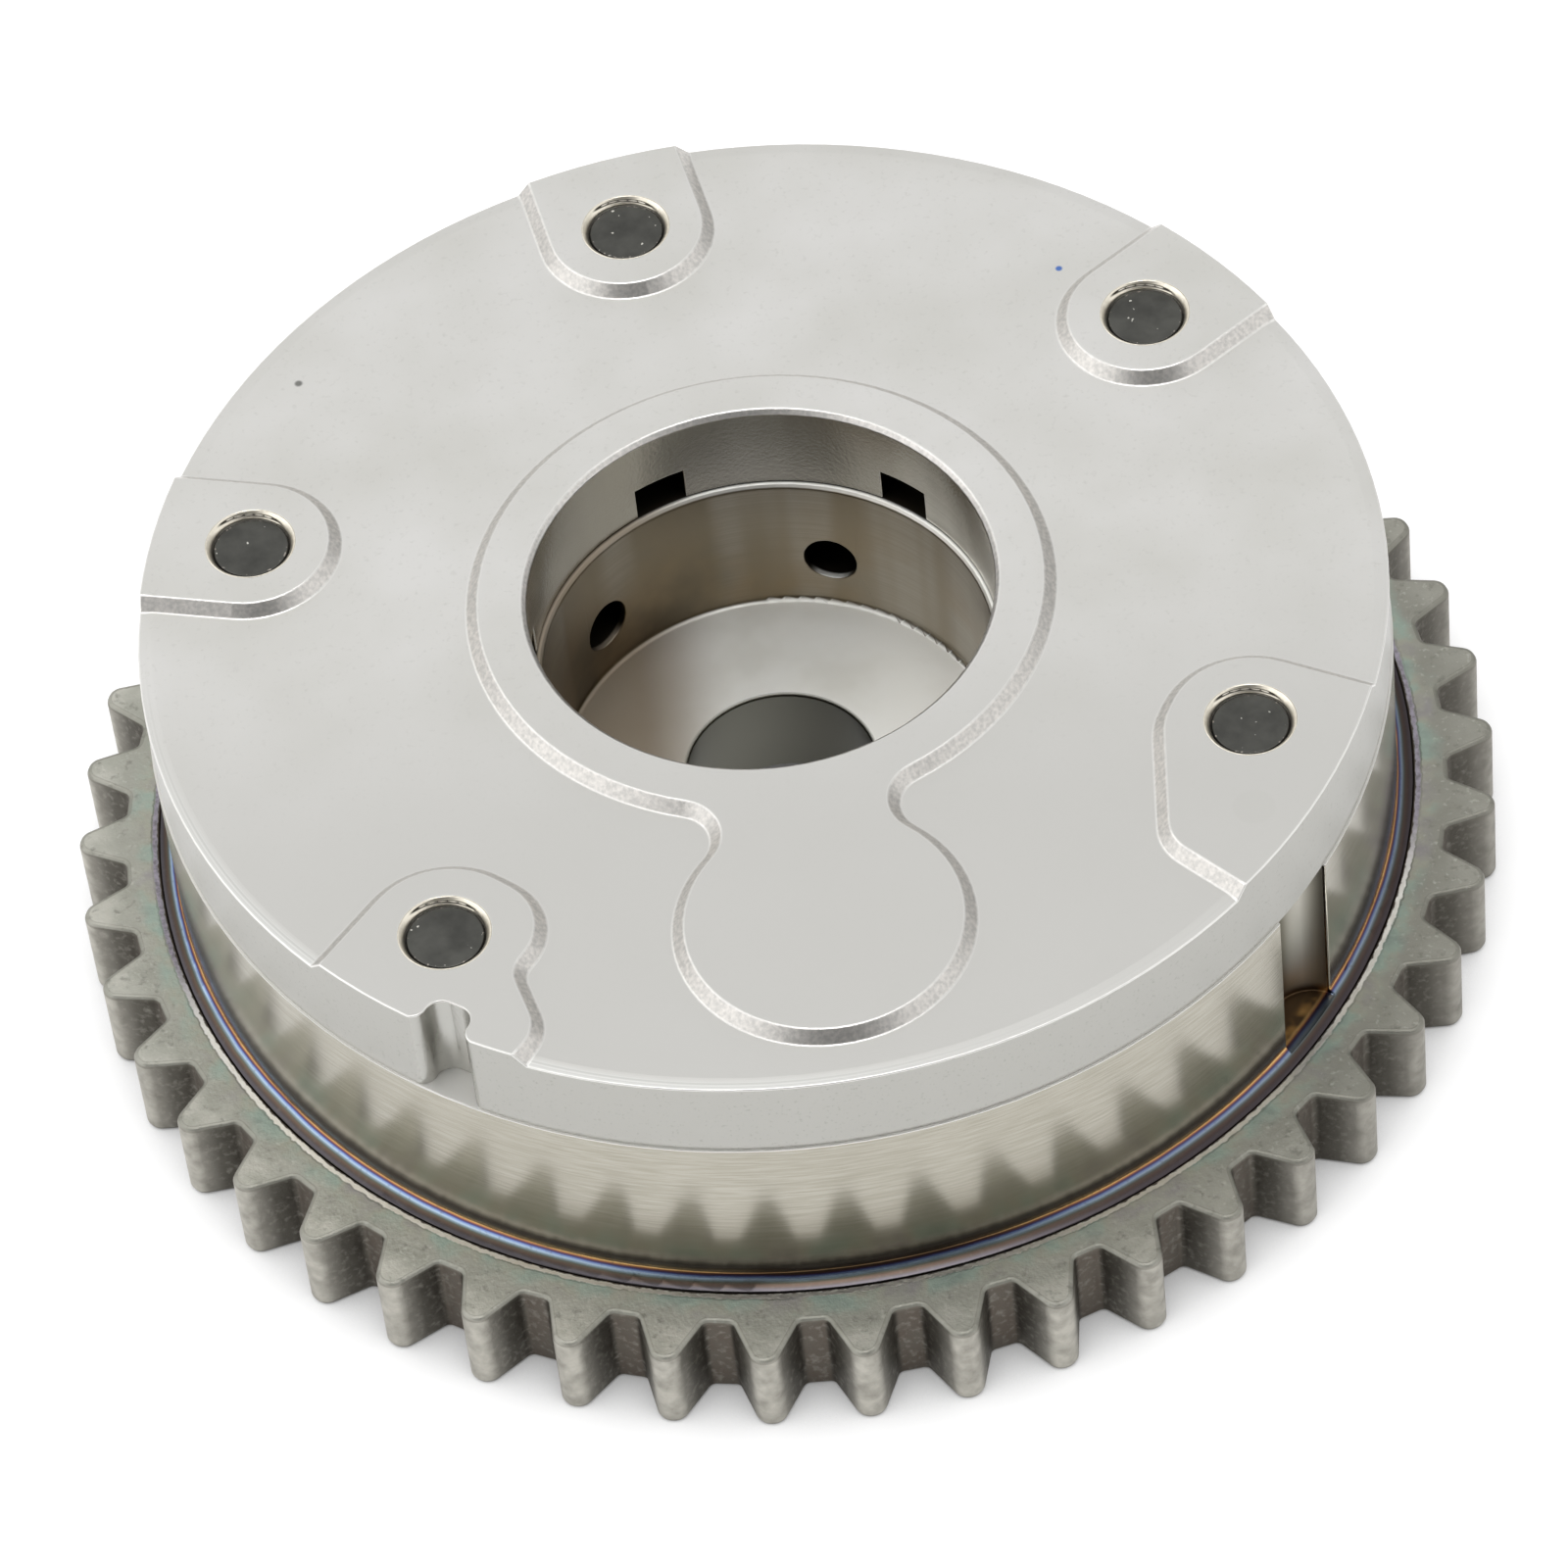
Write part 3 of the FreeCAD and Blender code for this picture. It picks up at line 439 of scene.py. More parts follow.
def turned_steel():
    material, tree, shader = start_material("steel_turned_and_heat_tinted", 1.0, 0.14)
    where = add(tree, "TexCoord").outputs["Object"]
    across, _, height = add(tree, "SeparateXYZ", {0: where}).outputs
    radius = off_axis(tree, where)
    lines = cutter_lines(tree, where, 0.13, 2.6)
    wall = add(tree, "Mix", {"Factor": lines, "A": "#BAB6AB", "B": "#A9A598"}, **rgba)
    hazy = mottle(tree, where, 7.0, 0.3, 0.7, 0.0, 0.35, 3.0)
    # The wall is darker towards its bottom.
    low_on_wall = add(tree, "MapRange", {0: height, 1: sprocket_top + 8 * mm, 2: sprocket_top + 2 * mm, 4: 0.8},
                 **smooth)
    for share, tone in ((hazy, "#A8A497"), (low_on_wall, "#857F71")):
        wall = add(tree, "Mix", {"Factor": share, "A": wall, "B": tone}, **rgba)

    waver = mottle(tree, where, 6.0, 0.2, 0.8, -0.10 * mm, 0.10 * mm, 3.0)
    inward = add(tree, "Math", {0: height, 1: radius}, operation="SUBTRACT")
    along = add(tree, "Math", {0: inward, 1: waver}, operation="ADD")
    start = sprocket_top - flange_r
    way = add(tree, "MapRange", {0: along, 1: start, 2: start + tint_run})
    tint = add(tree, "ValToRGB", {"Fac": way}, stops=heat_tint)
    scale_speck = mottle(tree, where, 0.30, 0.55, 0.75, 0.0, 0.35, 3.0)
    # The wide band is darker towards the right.
    rightwards = add(tree, "MapRange", {0: across, 1: 4 * mm, 2: 24 * mm, 4: 0.45}, **smooth)
    outer = add(tree, "MapRange", {0: way, 1: 0.66, 2: 0.56}, **smooth)
    # The straw is painted dark brown at the front of the neck as shade.
    neck_front_shade = between(tree, across, -8 * mm, 12 * mm, 6 * mm)
    upper = add(tree, "MapRange", {0: way, 1: 0.58, 2: 0.64, 4: 0.85}, **smooth)
    for share, tone in ((scale_speck, "#5E5A55"), (both(tree, rightwards, outer), "#42383A"),
                        (both(tree, neck_front_shade, upper), "#4A3E36")):
        tint = add(tree, "Mix", {"Factor": share, "A": tint, "B": tone}, **rgba)
    near = add(tree, "MapRange", {0: along, 1: start + tint_run, 2: start + 0.8 * tint_run}, **smooth)
    outside = add(tree, "MapRange", {0: radius, 1: cover_r - 0.4 * mm, 2: cover_r - 0.1 * mm}, **smooth)
    near = both(tree, near, outside)

    milled = add(tree, "MapRange", {0: radius, 1: cover_r - 0.02 * mm, 2: cover_r - 0.10 * mm}, **smooth)
    turn = math.radians(pocket_deg)
    past_edge = add(tree, "VectorMath", {0: where, 1: (-math.sin(turn), math.cos(turn), 0)},
                    operation="DOT_PRODUCT")
    pocket_shading = add(tree, "MapRange", {0: past_edge, 1: 0.0, 2: pocket_w})
    pocket_shading = add(tree, "ValToRGB", {"Fac": pocket_shading}, stops=pocket_shade_and_highlight)
    middle = on_circle(cover_r - 1 * mm, pocket_deg + 4, (sprocket_top + joint_level) / 2)
    pocket = round_mark(tree, where, middle, 10.0, 0.5)
    foot = add(tree, "MapRange", {0: height, 1: sprocket_top + 1.2 * mm, 2: sprocket_top + 0.4 * mm},
               **smooth)
    lip = add(tree, "MapRange", {0: radius, 1: cover_r - 1.3 * mm, 2: cover_r - 0.5 * mm, 4: 0.9}, **smooth)
    straw = both(tree, milled, foot, lip, mottle(tree, where, 1.8, 0.45, 0.65))
    # The ledge is painted bright as a highlight.
    ledge_highlight = add(tree, "MapRange", {0: height, 1: joint_level - 0.12 * mm, 2: joint_level - 0.06 * mm},
                **smooth)
    colour = wall
    for share, tone in ((milled, "#A6A399"), (both(tree, milled, pocket), pocket_shading),
                        (both(tree, milled, foot), "#5A4835"), (straw, "#C79A5E"), (ledge_highlight, "#E6E5E1"),
                        (near, tint)):
        colour = add(tree, "Mix", {"Factor": share, "A": colour, "B": tone}, **rgba)
    rough = add(tree, "Mix", {"Factor": near, "A": 0.20, "B": 0.26})
    rough = add(tree, "Mix", {"Factor": milled, "A": rough, "B": 0.40})
    rough = add(tree, "Mix", {"Factor": ledge_highlight, "A": rough, "B": 0.55})
    relief = add(tree, "Bump", {"Height": lines, "Distance": 0.0007 * mm, "Strength": 1.0})
    finish_shader(tree, shader, colour, rough, relief)
    return material


# %% [markdown]
# ## Sintered steel of the sprocket
#
# The tooth ring is pressed from steel powder, sintered and steam-treated. It is matt and grainy: a
# mottled neutral grey, painted darker as shade in the tooth gaps and on the right, and a little green
# where it was heated beside the housing. Round its inner edge runs the bead that joins it to the housing:
# lavender where the oxide is left, chafed to bare metal on the front half and painted bright there as a
# highlight, with a thin painted shadow line outside it.

# %% Material: sintered steel, steam-treated
seam_r = flange_r + 0.1 * mm
bead_w = 0.36 * mm


def sintered_steel():
    material, tree, shader = start_material("steel_sintered_and_steam_treated", 1.0, 0.5)
    where = add(tree, "TexCoord").outputs["Object"]
    across, depth, _ = add(tree, "SeparateXYZ", {0: where}).outputs
    facing = facing_up(tree)
    radius = off_axis(tree, where)
    flank = add(tree, "MapRange", {0: facing, 1: 0.6, 2: 0.3}, **smooth)

    mottled = mottle(tree, where, 1.6, 0.35, 0.65, detail=4.0)
    face = add(tree, "Mix", {"Factor": mottled, "A": "#CFCDC4", "B": "#B4B3A9"}, **rgba)
    wide = mottle(tree, where, 22.0, 0.35, 0.65, 0.0, 0.4)
    # Towards the tooth gaps the faces are painted darker as shade.
    inner = add(tree, "MapRange", {0: radius, 1: tip_r - 1.2 * mm, 2: tip_r - 3.0 * mm, 4: 0.55}, **smooth)
    # The right side is painted darker as shade.
    right_shade = add(tree, "MapRange", {0: across, 1: 12 * mm, 2: 40 * mm, 4: 0.6}, **smooth)
    dark = mottle(tree, where, 0.55, 0.58, 0.74, 0.0, 0.55, 3.0)
    light = mottle(tree, where, 0.40, 0.58, 0.74, 0.0, 0.35, 3.0)

    patina = add(tree, "ValToRGB", {"Fac": mottle(tree, where, 3.0, 0.30, 0.70, detail=4.0)}, stops=[
        (0.0, "#8FA39B"), (0.35, "#A5B9AE"), (0.6, "#B0B0A2"), (1.0, "#9E9A9F")])
    ragged = mottle(tree, where, 2.0, 0.3, 0.7, -0.5 * mm, 0.5 * mm, 3.0)
    reach = add(tree, "Math", {0: radius, 1: ragged}, operation="ADD")
    near = add(tree, "MapRange", {0: reach, 1: seam_r + 2.0 * mm, 2: seam_r + 0.6 * mm, 4: 0.7}, **smooth)

    jitter = mottle(tree, where, 0.45, 0.2, 0.8, -0.10 * mm, 0.10 * mm, 3.0)
    edge = add(tree, "Math", {0: radius, 1: jitter}, operation="ADD")
    broken = mottle(tree, where, 5.0, 0.35, 0.65, 0.1, 0.6)
    # The thin dark line outside the bead is a painted shadow of the gap there.
    shade_line = both(tree, between(tree, edge, seam_r + bead_w, seam_r + bead_w + 0.12 * mm, 0.06 * mm), broken)
    seam = add(tree, "MapRange", {0: edge, 1: seam_r + 0.10 * mm, 2: seam_r + 0.02 * mm}, **smooth)
    bead = between(tree, edge, seam_r + 0.06 * mm, seam_r + bead_w, 0.05 * mm)
    # The front half of the bead is chafed bare and painted bright there as a highlight.
    chafed_and_lit = add(tree, "MapRange", {0: depth, 1: -8 * mm, 2: -16 * mm}, **smooth)
    oxide = mottle(tree, where, 0.35, 0.35, 0.65, detail=3.0)
    oxide = add(tree, "Mix", {"Factor": oxide, "A": "#A29CA8", "B": "#7F7A80"}, **rgba)
    bead_colour = add(tree, "Mix", {"Factor": chafed_and_lit, "A": oxide, "B": "#F4F2EC"}, **rgba)
    for share, tone in ((wide, "#A5A79E"), (inner, "#9C9D93"), (right_shade, "#8B8A81"), (dark, "#7A7A72"),
                        (light, "#DEDDD5"), (near, patina), (shade_line, "#55554F"), (seam, "#57504C"),
                        (bead, bead_colour)):
        face = add(tree, "Mix", {"Factor": share, "A": face, "B": tone}, **rgba)

    # The tooth sides are painted dark as shade low in the gaps, and lighter towards the tips.
    outwards = add(tree, "MapRange", {0: radius, 1: tip_r - 3.2 * mm, 2: tip_r - 0.2 * mm})
    side = add(tree, "ValToRGB", {"Fac": outwards}, stops=[
        (0.0, "#8C8076"), (0.08, "#4F4A43"), (0.5, "#625F58"), (0.82, "#99968E"), (1.0, "#C2BFB6")])
    patch = mottle(tree, where, 1.1, 0.35, 0.68, 0.0, 0.5, 4.0)
    fleck = mottle(tree, where, 0.45, 0.52, 0.75, 0.0, 0.4, 4.0)
    for share, tone in ((patch, "#706D65"), (fleck, "#B1AEA5"), (both(tree, right_shade, 0.6), "#5F5C55")):
        side = add(tree, "Mix", {"Factor": share, "A": side, "B": tone}, **rgba)
    colour = add(tree, "Mix", {"Factor": flank, "A": face, "B": side}, **rgba)
    rounded = add(tree, "Attribute", attribute_name="broken_edge").outputs["Fac"]
    colour = add(tree, "Mix", {"Factor": both(tree, rounded, 0.4), "A": colour, "B": "#77756C"}, **rgba)
    rough = add(tree, "Mix", {"Factor": bead, "A": 0.56, "B": 0.30})
    grain = mottle(tree, where, 0.35, 0.2, 0.8, detail=4.0)
    relief = add(tree, "Bump", {"Height": grain, "Distance": 0.020 * mm, "Strength": 1.0})
    finish_shader(tree, shader, colour, rough, relief)
    return material


# %% [markdown]
# ## Machined steel of the rotor
#
# Only the rotor's recess shows through the cover: a bored wall with fine lines round it and a turned
# floor. The wall is brown with old oil low down, with upright streaks of painted reflection, and is
# painted darker low down on the left as shade. The floor is matt, so that it catches the light from
# overhead, and is painted near white, brighter than its steel, as added light, and darker on the left
# as shade. The oil holes and the ring of the top face that shows only through the cover's oil windows
# are painted dark as shade, and the centre hole is painted grey as shade, darker on the right.

# %% Material: machined rotor steel
def machined_steel():
    material, tree, shader = start_material("steel_machined_rotor", 1.0, 0.34)
    where = add(tree, "TexCoord").outputs["Object"]
    across, _, height = add(tree, "SeparateXYZ", {0: where}).outputs
    facing = facing_up(tree)
    radius = off_axis(tree, where)
    level = add(tree, "MapRange", {0: facing, 1: 0.5, 2: 0.9}, **smooth)
    cut = cutter_lines(tree, where, 0.16, 20.0)
    wall = add(tree, "Mix", {"Factor": cut, "A": "#A39C90", "B": "#999286"}, **rgba)
    # Upright streaks on the wall are painted reflections.
    upwards = add(tree, "Mapping", {"Vector": where, "Scale": (per(5), per(5), per(60))})
    streak_reflection = add(tree, "TexNoise", {"Vector": upwards, "Scale": 1.0})
    streak_reflection = add(tree, "MapRange", {0: streak_reflection, 1: 0.4, 2: 0.6}, **smooth)
    # The wall is painted darker low down on the left as shade.
    left_shade = add(tree, "MapRange", {0: across, 1: 4.0 * mm, 2: -8.0 * mm, 3: 0.15, 4: 0.8}, **smooth)
    low_down = add(tree, "MapRange", {0: height, 1: rotor_top - 2.0 * mm, 2: rotor_top - 9.0 * mm, 3: 0.35},
                   **smooth)
    stain = mottle(tree, where, 6.0, 0.42, 0.66, 0.0, 0.6, 3.0)
    for share, tone in ((streak_reflection, "#8B8170"), (both(tree, left_shade, low_down), "#4E4637"),
                        (both(tree, stain, low_down), "#8A795F")):
        wall = add(tree, "Mix", {"Factor": share, "A": wall, "B": tone}, **rgba)
    # The floor is painted near white, brighter than the steel, as added light from overhead.
    floor = add(tree, "Mix", {"Factor": stain, "A": "#FFFFFB", "B": "#F0EFE8"}, **rgba)
    # The floor is painted darker on the left as shade.
    left_floor_shade = add(tree, "MapRange", {0: across, 1: -2.0 * mm, 2: -9.0 * mm, 4: 0.85}, **smooth)
    floor = add(tree, "Mix", {"Factor": left_floor_shade, "A": floor, "B": "#96866F"}, **rgba)
    colour = add(tree, "Mix", {"Factor": level, "A": wall, "B": floor}, **rgba)
    # The oil holes and the ring seen through the oil windows are painted dark as shade.
    window_shade_ring = between(tree, radius, recess_r + 0.4 * mm, recess_r + 4 * mm, 0.1 * mm)
    # The centre hole is painted grey as shade, darker on the right.
    centre = add(tree, "MapRange", {0: radius, 1: centre_hole_r + 0.25 * mm, 2: centre_hole_r}, **smooth)
    shade = add(tree, "MapRange", {0: across, 1: -4.0 * mm, 2: 4.0 * mm}, **smooth)
    shade = add(tree, "Mix", {"Factor": shade, "A": "#8C8B81", "B": "#65645C"}, **rgba)
    for share, tone in ((window_shade_ring, "#2E2922"), (centre, shade)):
        colour = add(tree, "Mix", {"Factor": share, "A": colour, "B": tone}, **rgba)
    rough = add(tree, "Mix", {"Factor": level, "A": 0.30, "B": 0.64})
    relief = add(tree, "Bump", {"Height": cut, "Distance": 0.0004 * mm, "Strength": 1.0})
    finish_shader(tree, shader, colour, rough, relief)
    return material


# %% [markdown]
# ## Black oxide on the bolts
#
# The bolts are blackened: a thin matt oxide, not paint, so the steel still shines through a little. Their
# sides are painted darker than their ends as shade. A few bright specks show where it is chipped, most of
# them along the edge.

# %% Material: black oxide
def black_oxide():
    material, tree, shader = start_material("steel_black_oxide", 1.0, 0.45)
    where = add(tree, "TexCoord").outputs["Object"]
    facing = facing_up(tree)
    from_bolt = from_bolts(tree, where)
    level = add(tree, "MapRange", {0: facing, 1: 0.8, 2: 0.95}, **smooth)
    cloud = mottle(tree, where, 1.6, 0.3, 0.7, detail=3.0)
    face = add(tree, "Mix", {"Factor": cloud, "A": "#5E5E5A", "B": "#4C4C49"}, **rgba)
    chip = mottle(tree, where, 0.45, 0.745, 0.775, detail=1.0)
    edge = between(tree, from_bolt, bolt_r - 0.22 * mm, bolt_r - 0.10 * mm, 0.04 * mm)
    nick = both(tree, edge, mottle(tree, where, 0.30, 0.64, 0.70, 0.0, 0.7, 1.0))
    for share, tone in ((chip, "#D8D6CE"), (nick, "#B9B1A8")):
        face = add(tree, "Mix", {"Factor": share, "A": face, "B": tone}, **rgba)
    # The sides are painted darker than the end face as shade.
    side = add(tree, "Mix", {"Factor": cloud, "A": "#2C2B29", "B": "#1F1E1D"}, **rgba)
    colour = add(tree, "Mix", {"Factor": level, "A": side, "B": face}, **rgba)
    grain = mottle(tree, where, 0.25, 0.2, 0.8, detail=3.0)
    relief = add(tree, "Bump", {"Height": grain, "Distance": 0.005 * mm, "Strength": 1.0})
    finish_shader(tree, shader, colour, normal=relief)
    return material


# %% [markdown]
# ## Plain fine steels and plastics inside
#
# The pin, bush and dowel are ground, the springs are drawn wire or strip, the seals are a filled black
# polymer, and the spring's retainer is a natural nylon. Each still has its own grain.

# %% Materials: ground and drawn steel, moulded polymer
def fine_steel(name, light, dark, roughness, grain_mm):
    material, tree, shader = start_material(name, 1.0, roughness)
    where = add(tree, "TexCoord").outputs["Object"]
    lines = cutter_lines(tree, where, grain_mm, 8.0)
    colour = add(tree, "Mix", {"Factor": lines, "A": light, "B": dark}, **rgba)
    relief = add(tree, "Bump", {"Height": lines, "Distance": 0.0006 * mm, "Strength": 1.0})
    finish_shader(tree, shader, colour, normal=relief)
    return material


def moulded_polymer(name, light, dark, roughness):
    material, tree, shader = start_material(name, 0.0, roughness)
    where = add(tree, "TexCoord").outputs["Object"]
    skin = mottle(tree, where, 0.4, 0.3, 0.7, detail=3.0)
    colour = add(tree, "Mix", {"Factor": skin, "A": light, "B": dark}, **rgba)
    relief = add(tree, "Bump", {"Height": skin, "Distance": 0.004 * mm, "Strength": 1.0})
    finish_shader(tree, shader, colour, normal=relief)
    return material


finish = {
    "cast_aluminium": cast_aluminium(),
    "turned_steel": turned_steel(),
    "sintered_steel": sintered_steel(),
    "rotor_steel": machined_steel(),
    "black_oxide_steel": black_oxide(),
    "hardened_steel": fine_steel("steel_ground_and_hardened", "#C9C8C4", "#AFAEA9", 0.2, 0.1),
    "spring_steel": fine_steel("steel_spring_drawn", "#A8A6A1", "#8B8984", 0.3, 0.08),
    "seal_polymer": moulded_polymer("polymer_seal_filled_black", "#2E2C2A", "#201F1E", 0.5),
    "retainer_polymer": moulded_polymer("nylon_natural_moulded", "#D8CFB8", "#C9BFA5", 0.45),
}
print("finishes:", sorted(finish))

# %% [markdown]
# ## Copies with broken edges
#
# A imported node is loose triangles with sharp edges. On the real part no edge is sharp: each is broken by
# a tenth of a millimetre or more and catches the light as a thin line, which is much of what makes metal
# look machined. So the big pieces are replaced by copies whose corners are merged and whose flat faces
# are made whole, and a Bevel rounds every edge that turns by more than 35 degrees. Only the two rims that
# close the joint between the cover and the housing stay sharp, so that the joint shows as a fine line.
#
# A bevel alone would shade badly, because it guesses the normals of the faces beside it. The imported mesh
# knows them exactly. They are kept as an attribute of the corners, which the bevel carries along, and are
# given back afterwards. A rounded edge's normals then run from the one side's to the other's.

# %% Merge the corners and find the edges to break
merge_distance = 1e-7
flat_turn = math.radians(0.05)
edge_turn = math.radians(35)
level_slack = 0.02 * mm
rim_w = 1.0 * mm
notch_half = 1.9 * mm
ledge_lip = 0.1 * mm
bevel_segments = 2
no_length = 1e-6
tiny = 1e-9


def read(items, name, width=0, kind=np.float32):
    """One property of every item of a mesh as an array, with so many columns if width is given."""
    values = np.empty(len(items) * max(width, 1), kind)
    items.foreach_get(name, values)
    return values.reshape(-1, width) if width else values


def merged_mesh(node):
    """The node's mesh with its normals kept on its corners, doubles merged and flat faces made whole."""
    mesh = frame["nodes"][node].data.copy()
    mesh.name = node + "_merged"
    exact = read(mesh.corner_normals, "vector", 3)
    mesh.attributes.new("exact_normal", "FLOAT_VECTOR", "CORNER").data.foreach_set("vector", exact.ravel())
    if "custom_normal" in mesh.attributes:
        mesh.attributes.remove(mesh.attributes["custom_normal"])
    shape = bmesh.new()
    shape.from_mesh(mesh)
    bmesh.ops.remove_doubles(shape, verts=shape.verts, dist=merge_distance)
    bmesh.ops.dissolve_limit(shape, angle_limit=flat_turn, verts=shape.verts, edges=shape.edges)
    shape.to_mesh(mesh)
    shape.free()
    return mesh


def mark_edges(mesh, soft_within, soft_share):
    """Bevel weight 1 on edges whose two faces turn by more than edge_turn; soft_share inside a radius.

    Each edge belongs to two face corners. Sorting the corners by edge puts the two side by side, and the
    dot product of their faces' normals is the cosine of the turn.
    """
    normals = read(mesh.polygons, "normal", 3)
    face = np.repeat(np.arange(len(mesh.polygons)), read(mesh.polygons, "loop_total", 0, np.int32))
    edge = read(mesh.loops, "edge_index", 0, np.int32)
    order = np.argsort(edge, kind="stable")
    count = np.bincount(edge, minlength=len(mesh.edges))
    start = np.cumsum(count) - count
    closed = count == 2
    one, two = face[order[start[closed]]], face[order[start[closed] + 1]]
    sharp = np.zeros(len(mesh.edges), bool)
    sharp[closed] = (normals[one] * normals[two]).sum(1) < math.cos(edge_turn)

    points = read(mesh.vertices, "co", 3)
    middle = points[read(mesh.edges, "vertices", 2, np.int32)].mean(1)
    away = np.hypot(middle[:, 0], middle[:, 1])
    joint = (np.abs(middle[:, 2] - joint_level) < level_slack) & (away > cover_r - rim_w)
    in_notch = np.hypot(*(middle[:, :2] - on_circle(cover_r, notch_deg, 0)[:2]).T) < notch_half
    joint &= ~(in_notch & (away > cover_r + ledge_lip))
    weight = np.where(sharp & ~joint, np.where(away < soft_within, soft_share, 1.0), 0.0)
    weights = mesh.attributes.new("bevel_weight_edge", "FLOAT", "EDGE").data
    weights.foreach_set("value", weight.astype(np.float32))
    return int(sharp.sum()), int((~closed).sum())


def restore_normals(mesh):
    """Gives faces their exact normals back, and rounded edges normals between their neighbours'.

    A corner of a rounded edge takes the mean of the exact normals that meet at its vertex, and a vertex
    inside a rounded edge takes the mean of its neighbours', worked outwards in a few rounds.
    """
    normal = read(mesh.attributes["exact_normal"].data, "vector", 3)
    normal /= np.maximum(np.linalg.norm(normal, axis=1, keepdims=True), tiny)
    vertex = read(mesh.loops, "vertex_index", 0, np.int32)
    face = np.repeat(np.arange(len(mesh.polygons)), read(mesh.polygons, "loop_total", 0, np.int32))
    rounded = read(mesh.polygons, "material_index", 0, np.int32)[face] > 0

    total = np.zeros((len(mesh.vertices), 3), np.float32)
    np.add.at(total, vertex[~rounded], normal[~rounded])
    ends = read(mesh.edges, "vertices", 2, np.int32)
    for _ in range(bevel_segments + 1):
        length = np.linalg.norm(total, axis=1, keepdims=True)
        unit = np.where(length > no_length, total / np.maximum(length, tiny), 0)
        spread = np.zeros_like(total)
        np.add.at(spread, ends[:, 0], unit[ends[:, 1]])
        np.add.at(spread, ends[:, 1], unit[ends[:, 0]])
        total = np.where(length > no_length, unit, spread)
    length = np.linalg.norm(total, axis=1, keepdims=True)
    guessed = read(mesh.vertex_normals, "vector", 3)
    total = np.where(length > no_length, total / np.maximum(length, tiny), guessed)
    normal[rounded] = total[vertex[rounded]]

    mesh.attributes.remove(mesh.attributes["exact_normal"])
    broken = mesh.attributes.new("broken_edge", "FLOAT", "CORNER").data
    broken.foreach_set("value", rounded.astype(np.float32))
    mesh.polygons.foreach_set("material_index", np.zeros(len(mesh.polygons), np.int32))
    mesh.normals_split_custom_set(normal)


# %% [markdown]
# The tooth ring's edges are broken widest, because tumbling in the powder-metal works rounds them; its
# inner edge, which the housing covers, is finer. The bolts' edges are finest.

# %% Make the copies
def replacement(name, node, width_mm, soft_within=0.0, soft_share=1.0):
    """A copy of the node with broken edges and the finish of its slot, riding where it rode.

    The finish fills two material slots at first. The bevel gives its own faces the second one, which
    tells them apart until their normals are set.
    """
    slot = frame["nodes"][node].data.materials[0].name
    mesh = merged_mesh(node)
    sharp, open_edges = mark_edges(mesh, soft_within, soft_share)
    mesh.materials.clear()
    mesh.materials.append(finish[slot])
    mesh.materials.append(finish[slot])
    mesh.polygons.foreach_set("material_index", np.zeros(len(mesh.polygons), np.int32))
    piece = bpy.data.objects.new(name, mesh)
    bpy.context.scene.collection.objects.link(piece)
    bevel = piece.modifiers.new("broken_edges", "BEVEL")
    bevel.width = width_mm * mm
    bevel.segments = bevel_segments
    bevel.limit_method = "WEIGHT"
    bevel.use_clamp_overlap = False
    bevel.material = 1
    graph = bpy.context.evaluated_depsgraph_get()
    finished = bpy.data.meshes.new_from_object(piece.evaluated_get(graph), preserve_all_data_layers=True,
                                               depsgraph=graph)
    piece.modifiers.clear()
    restore_normals(finished)
    finished.materials.pop()
    finished.name = name
    piece.data = finished
    bpy.data.meshes.remove(mesh)
    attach(piece, frame["nodes"][node]["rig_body"])
    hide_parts(node)
    print(name, "has", len(finished.polygons), "faces;", sharp, "edges broken,", open_edges, "open")


replacement("cover_casting", "cam_side_cover", 0.10)
replacement("housing_shell", "housing", 0.08)
replacement("tooth_ring", "sprocket", 0.34, soft_within=flange_r + 1.0 * mm, soft_share=0.1)
replacement("vane_rotor", "rotor", 0.10)
replacement("front_bearing_plate", "front_plate", 0.12)
replacement("bolt_set", "cover_bolts", 0.05)

# %% [markdown]
# The lock pin's spring stands on its retainer in the rotor and pushes the pin's crown. Here it becomes a
# piece of its own in spring steel; it is attached to no body, so it stays where it stands.

# %% The spring as a piece of its own
def pin_spring():
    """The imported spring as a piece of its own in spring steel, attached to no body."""
    node = "lock_pin_spring"
    mesh = frame["nodes"][node].data.copy()
    mesh.name = "pin_spring"
    mesh.materials.clear()
    mesh.materials.append(finish["spring_steel"])
    piece = bpy.data.objects.new("pin_spring", mesh)
    bpy.context.scene.collection.objects.link(piece)
    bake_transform(piece)
    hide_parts(node)


pin_spring()

# %% [markdown]
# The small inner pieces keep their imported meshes: their shapes are right as they are, and they show only
# when the part is taken apart.

# %% Finish the pieces that keep their mesh
kept_meshes = [o for o in frame["nodes"].values() if not o.hide_render]
for node in kept_meshes:
    node.data.materials[0] = finish[node.data.materials[0].name.split(".")[0]]
print("kept meshes:", len(kept_meshes))

# %% [markdown]
# ## Thread mouths
#
# The first turn of each thread cuts into the countersink above the bolt's end and shows as a dark
# crescent in the bright cone. A real thread is a groove carried along a helix. Here each mouth is a thin
# band that lies on the cone: a grid over the angle and the height, closed at the back inside the cover,
# so that its face can dip along the helix. It is thinner than the gap between the cone and the bolt.

# %% Model the thread mouths
sink_w, sink_h = 0.4 * mm, 0.65 * mm
thread_pitch = 0.8 * mm
thread_drop = 0.25 * mm
groove_half = 0.09 * mm
groove_end, groove_fade = math.radians(62), math.radians(34)
band_thick = 0.10 * mm
band_low, band_high = pad_level - 0.52 * mm, pad_level - 0.01 * mm
back_depth = 0.05 * mm
turns, rows = 144, 28


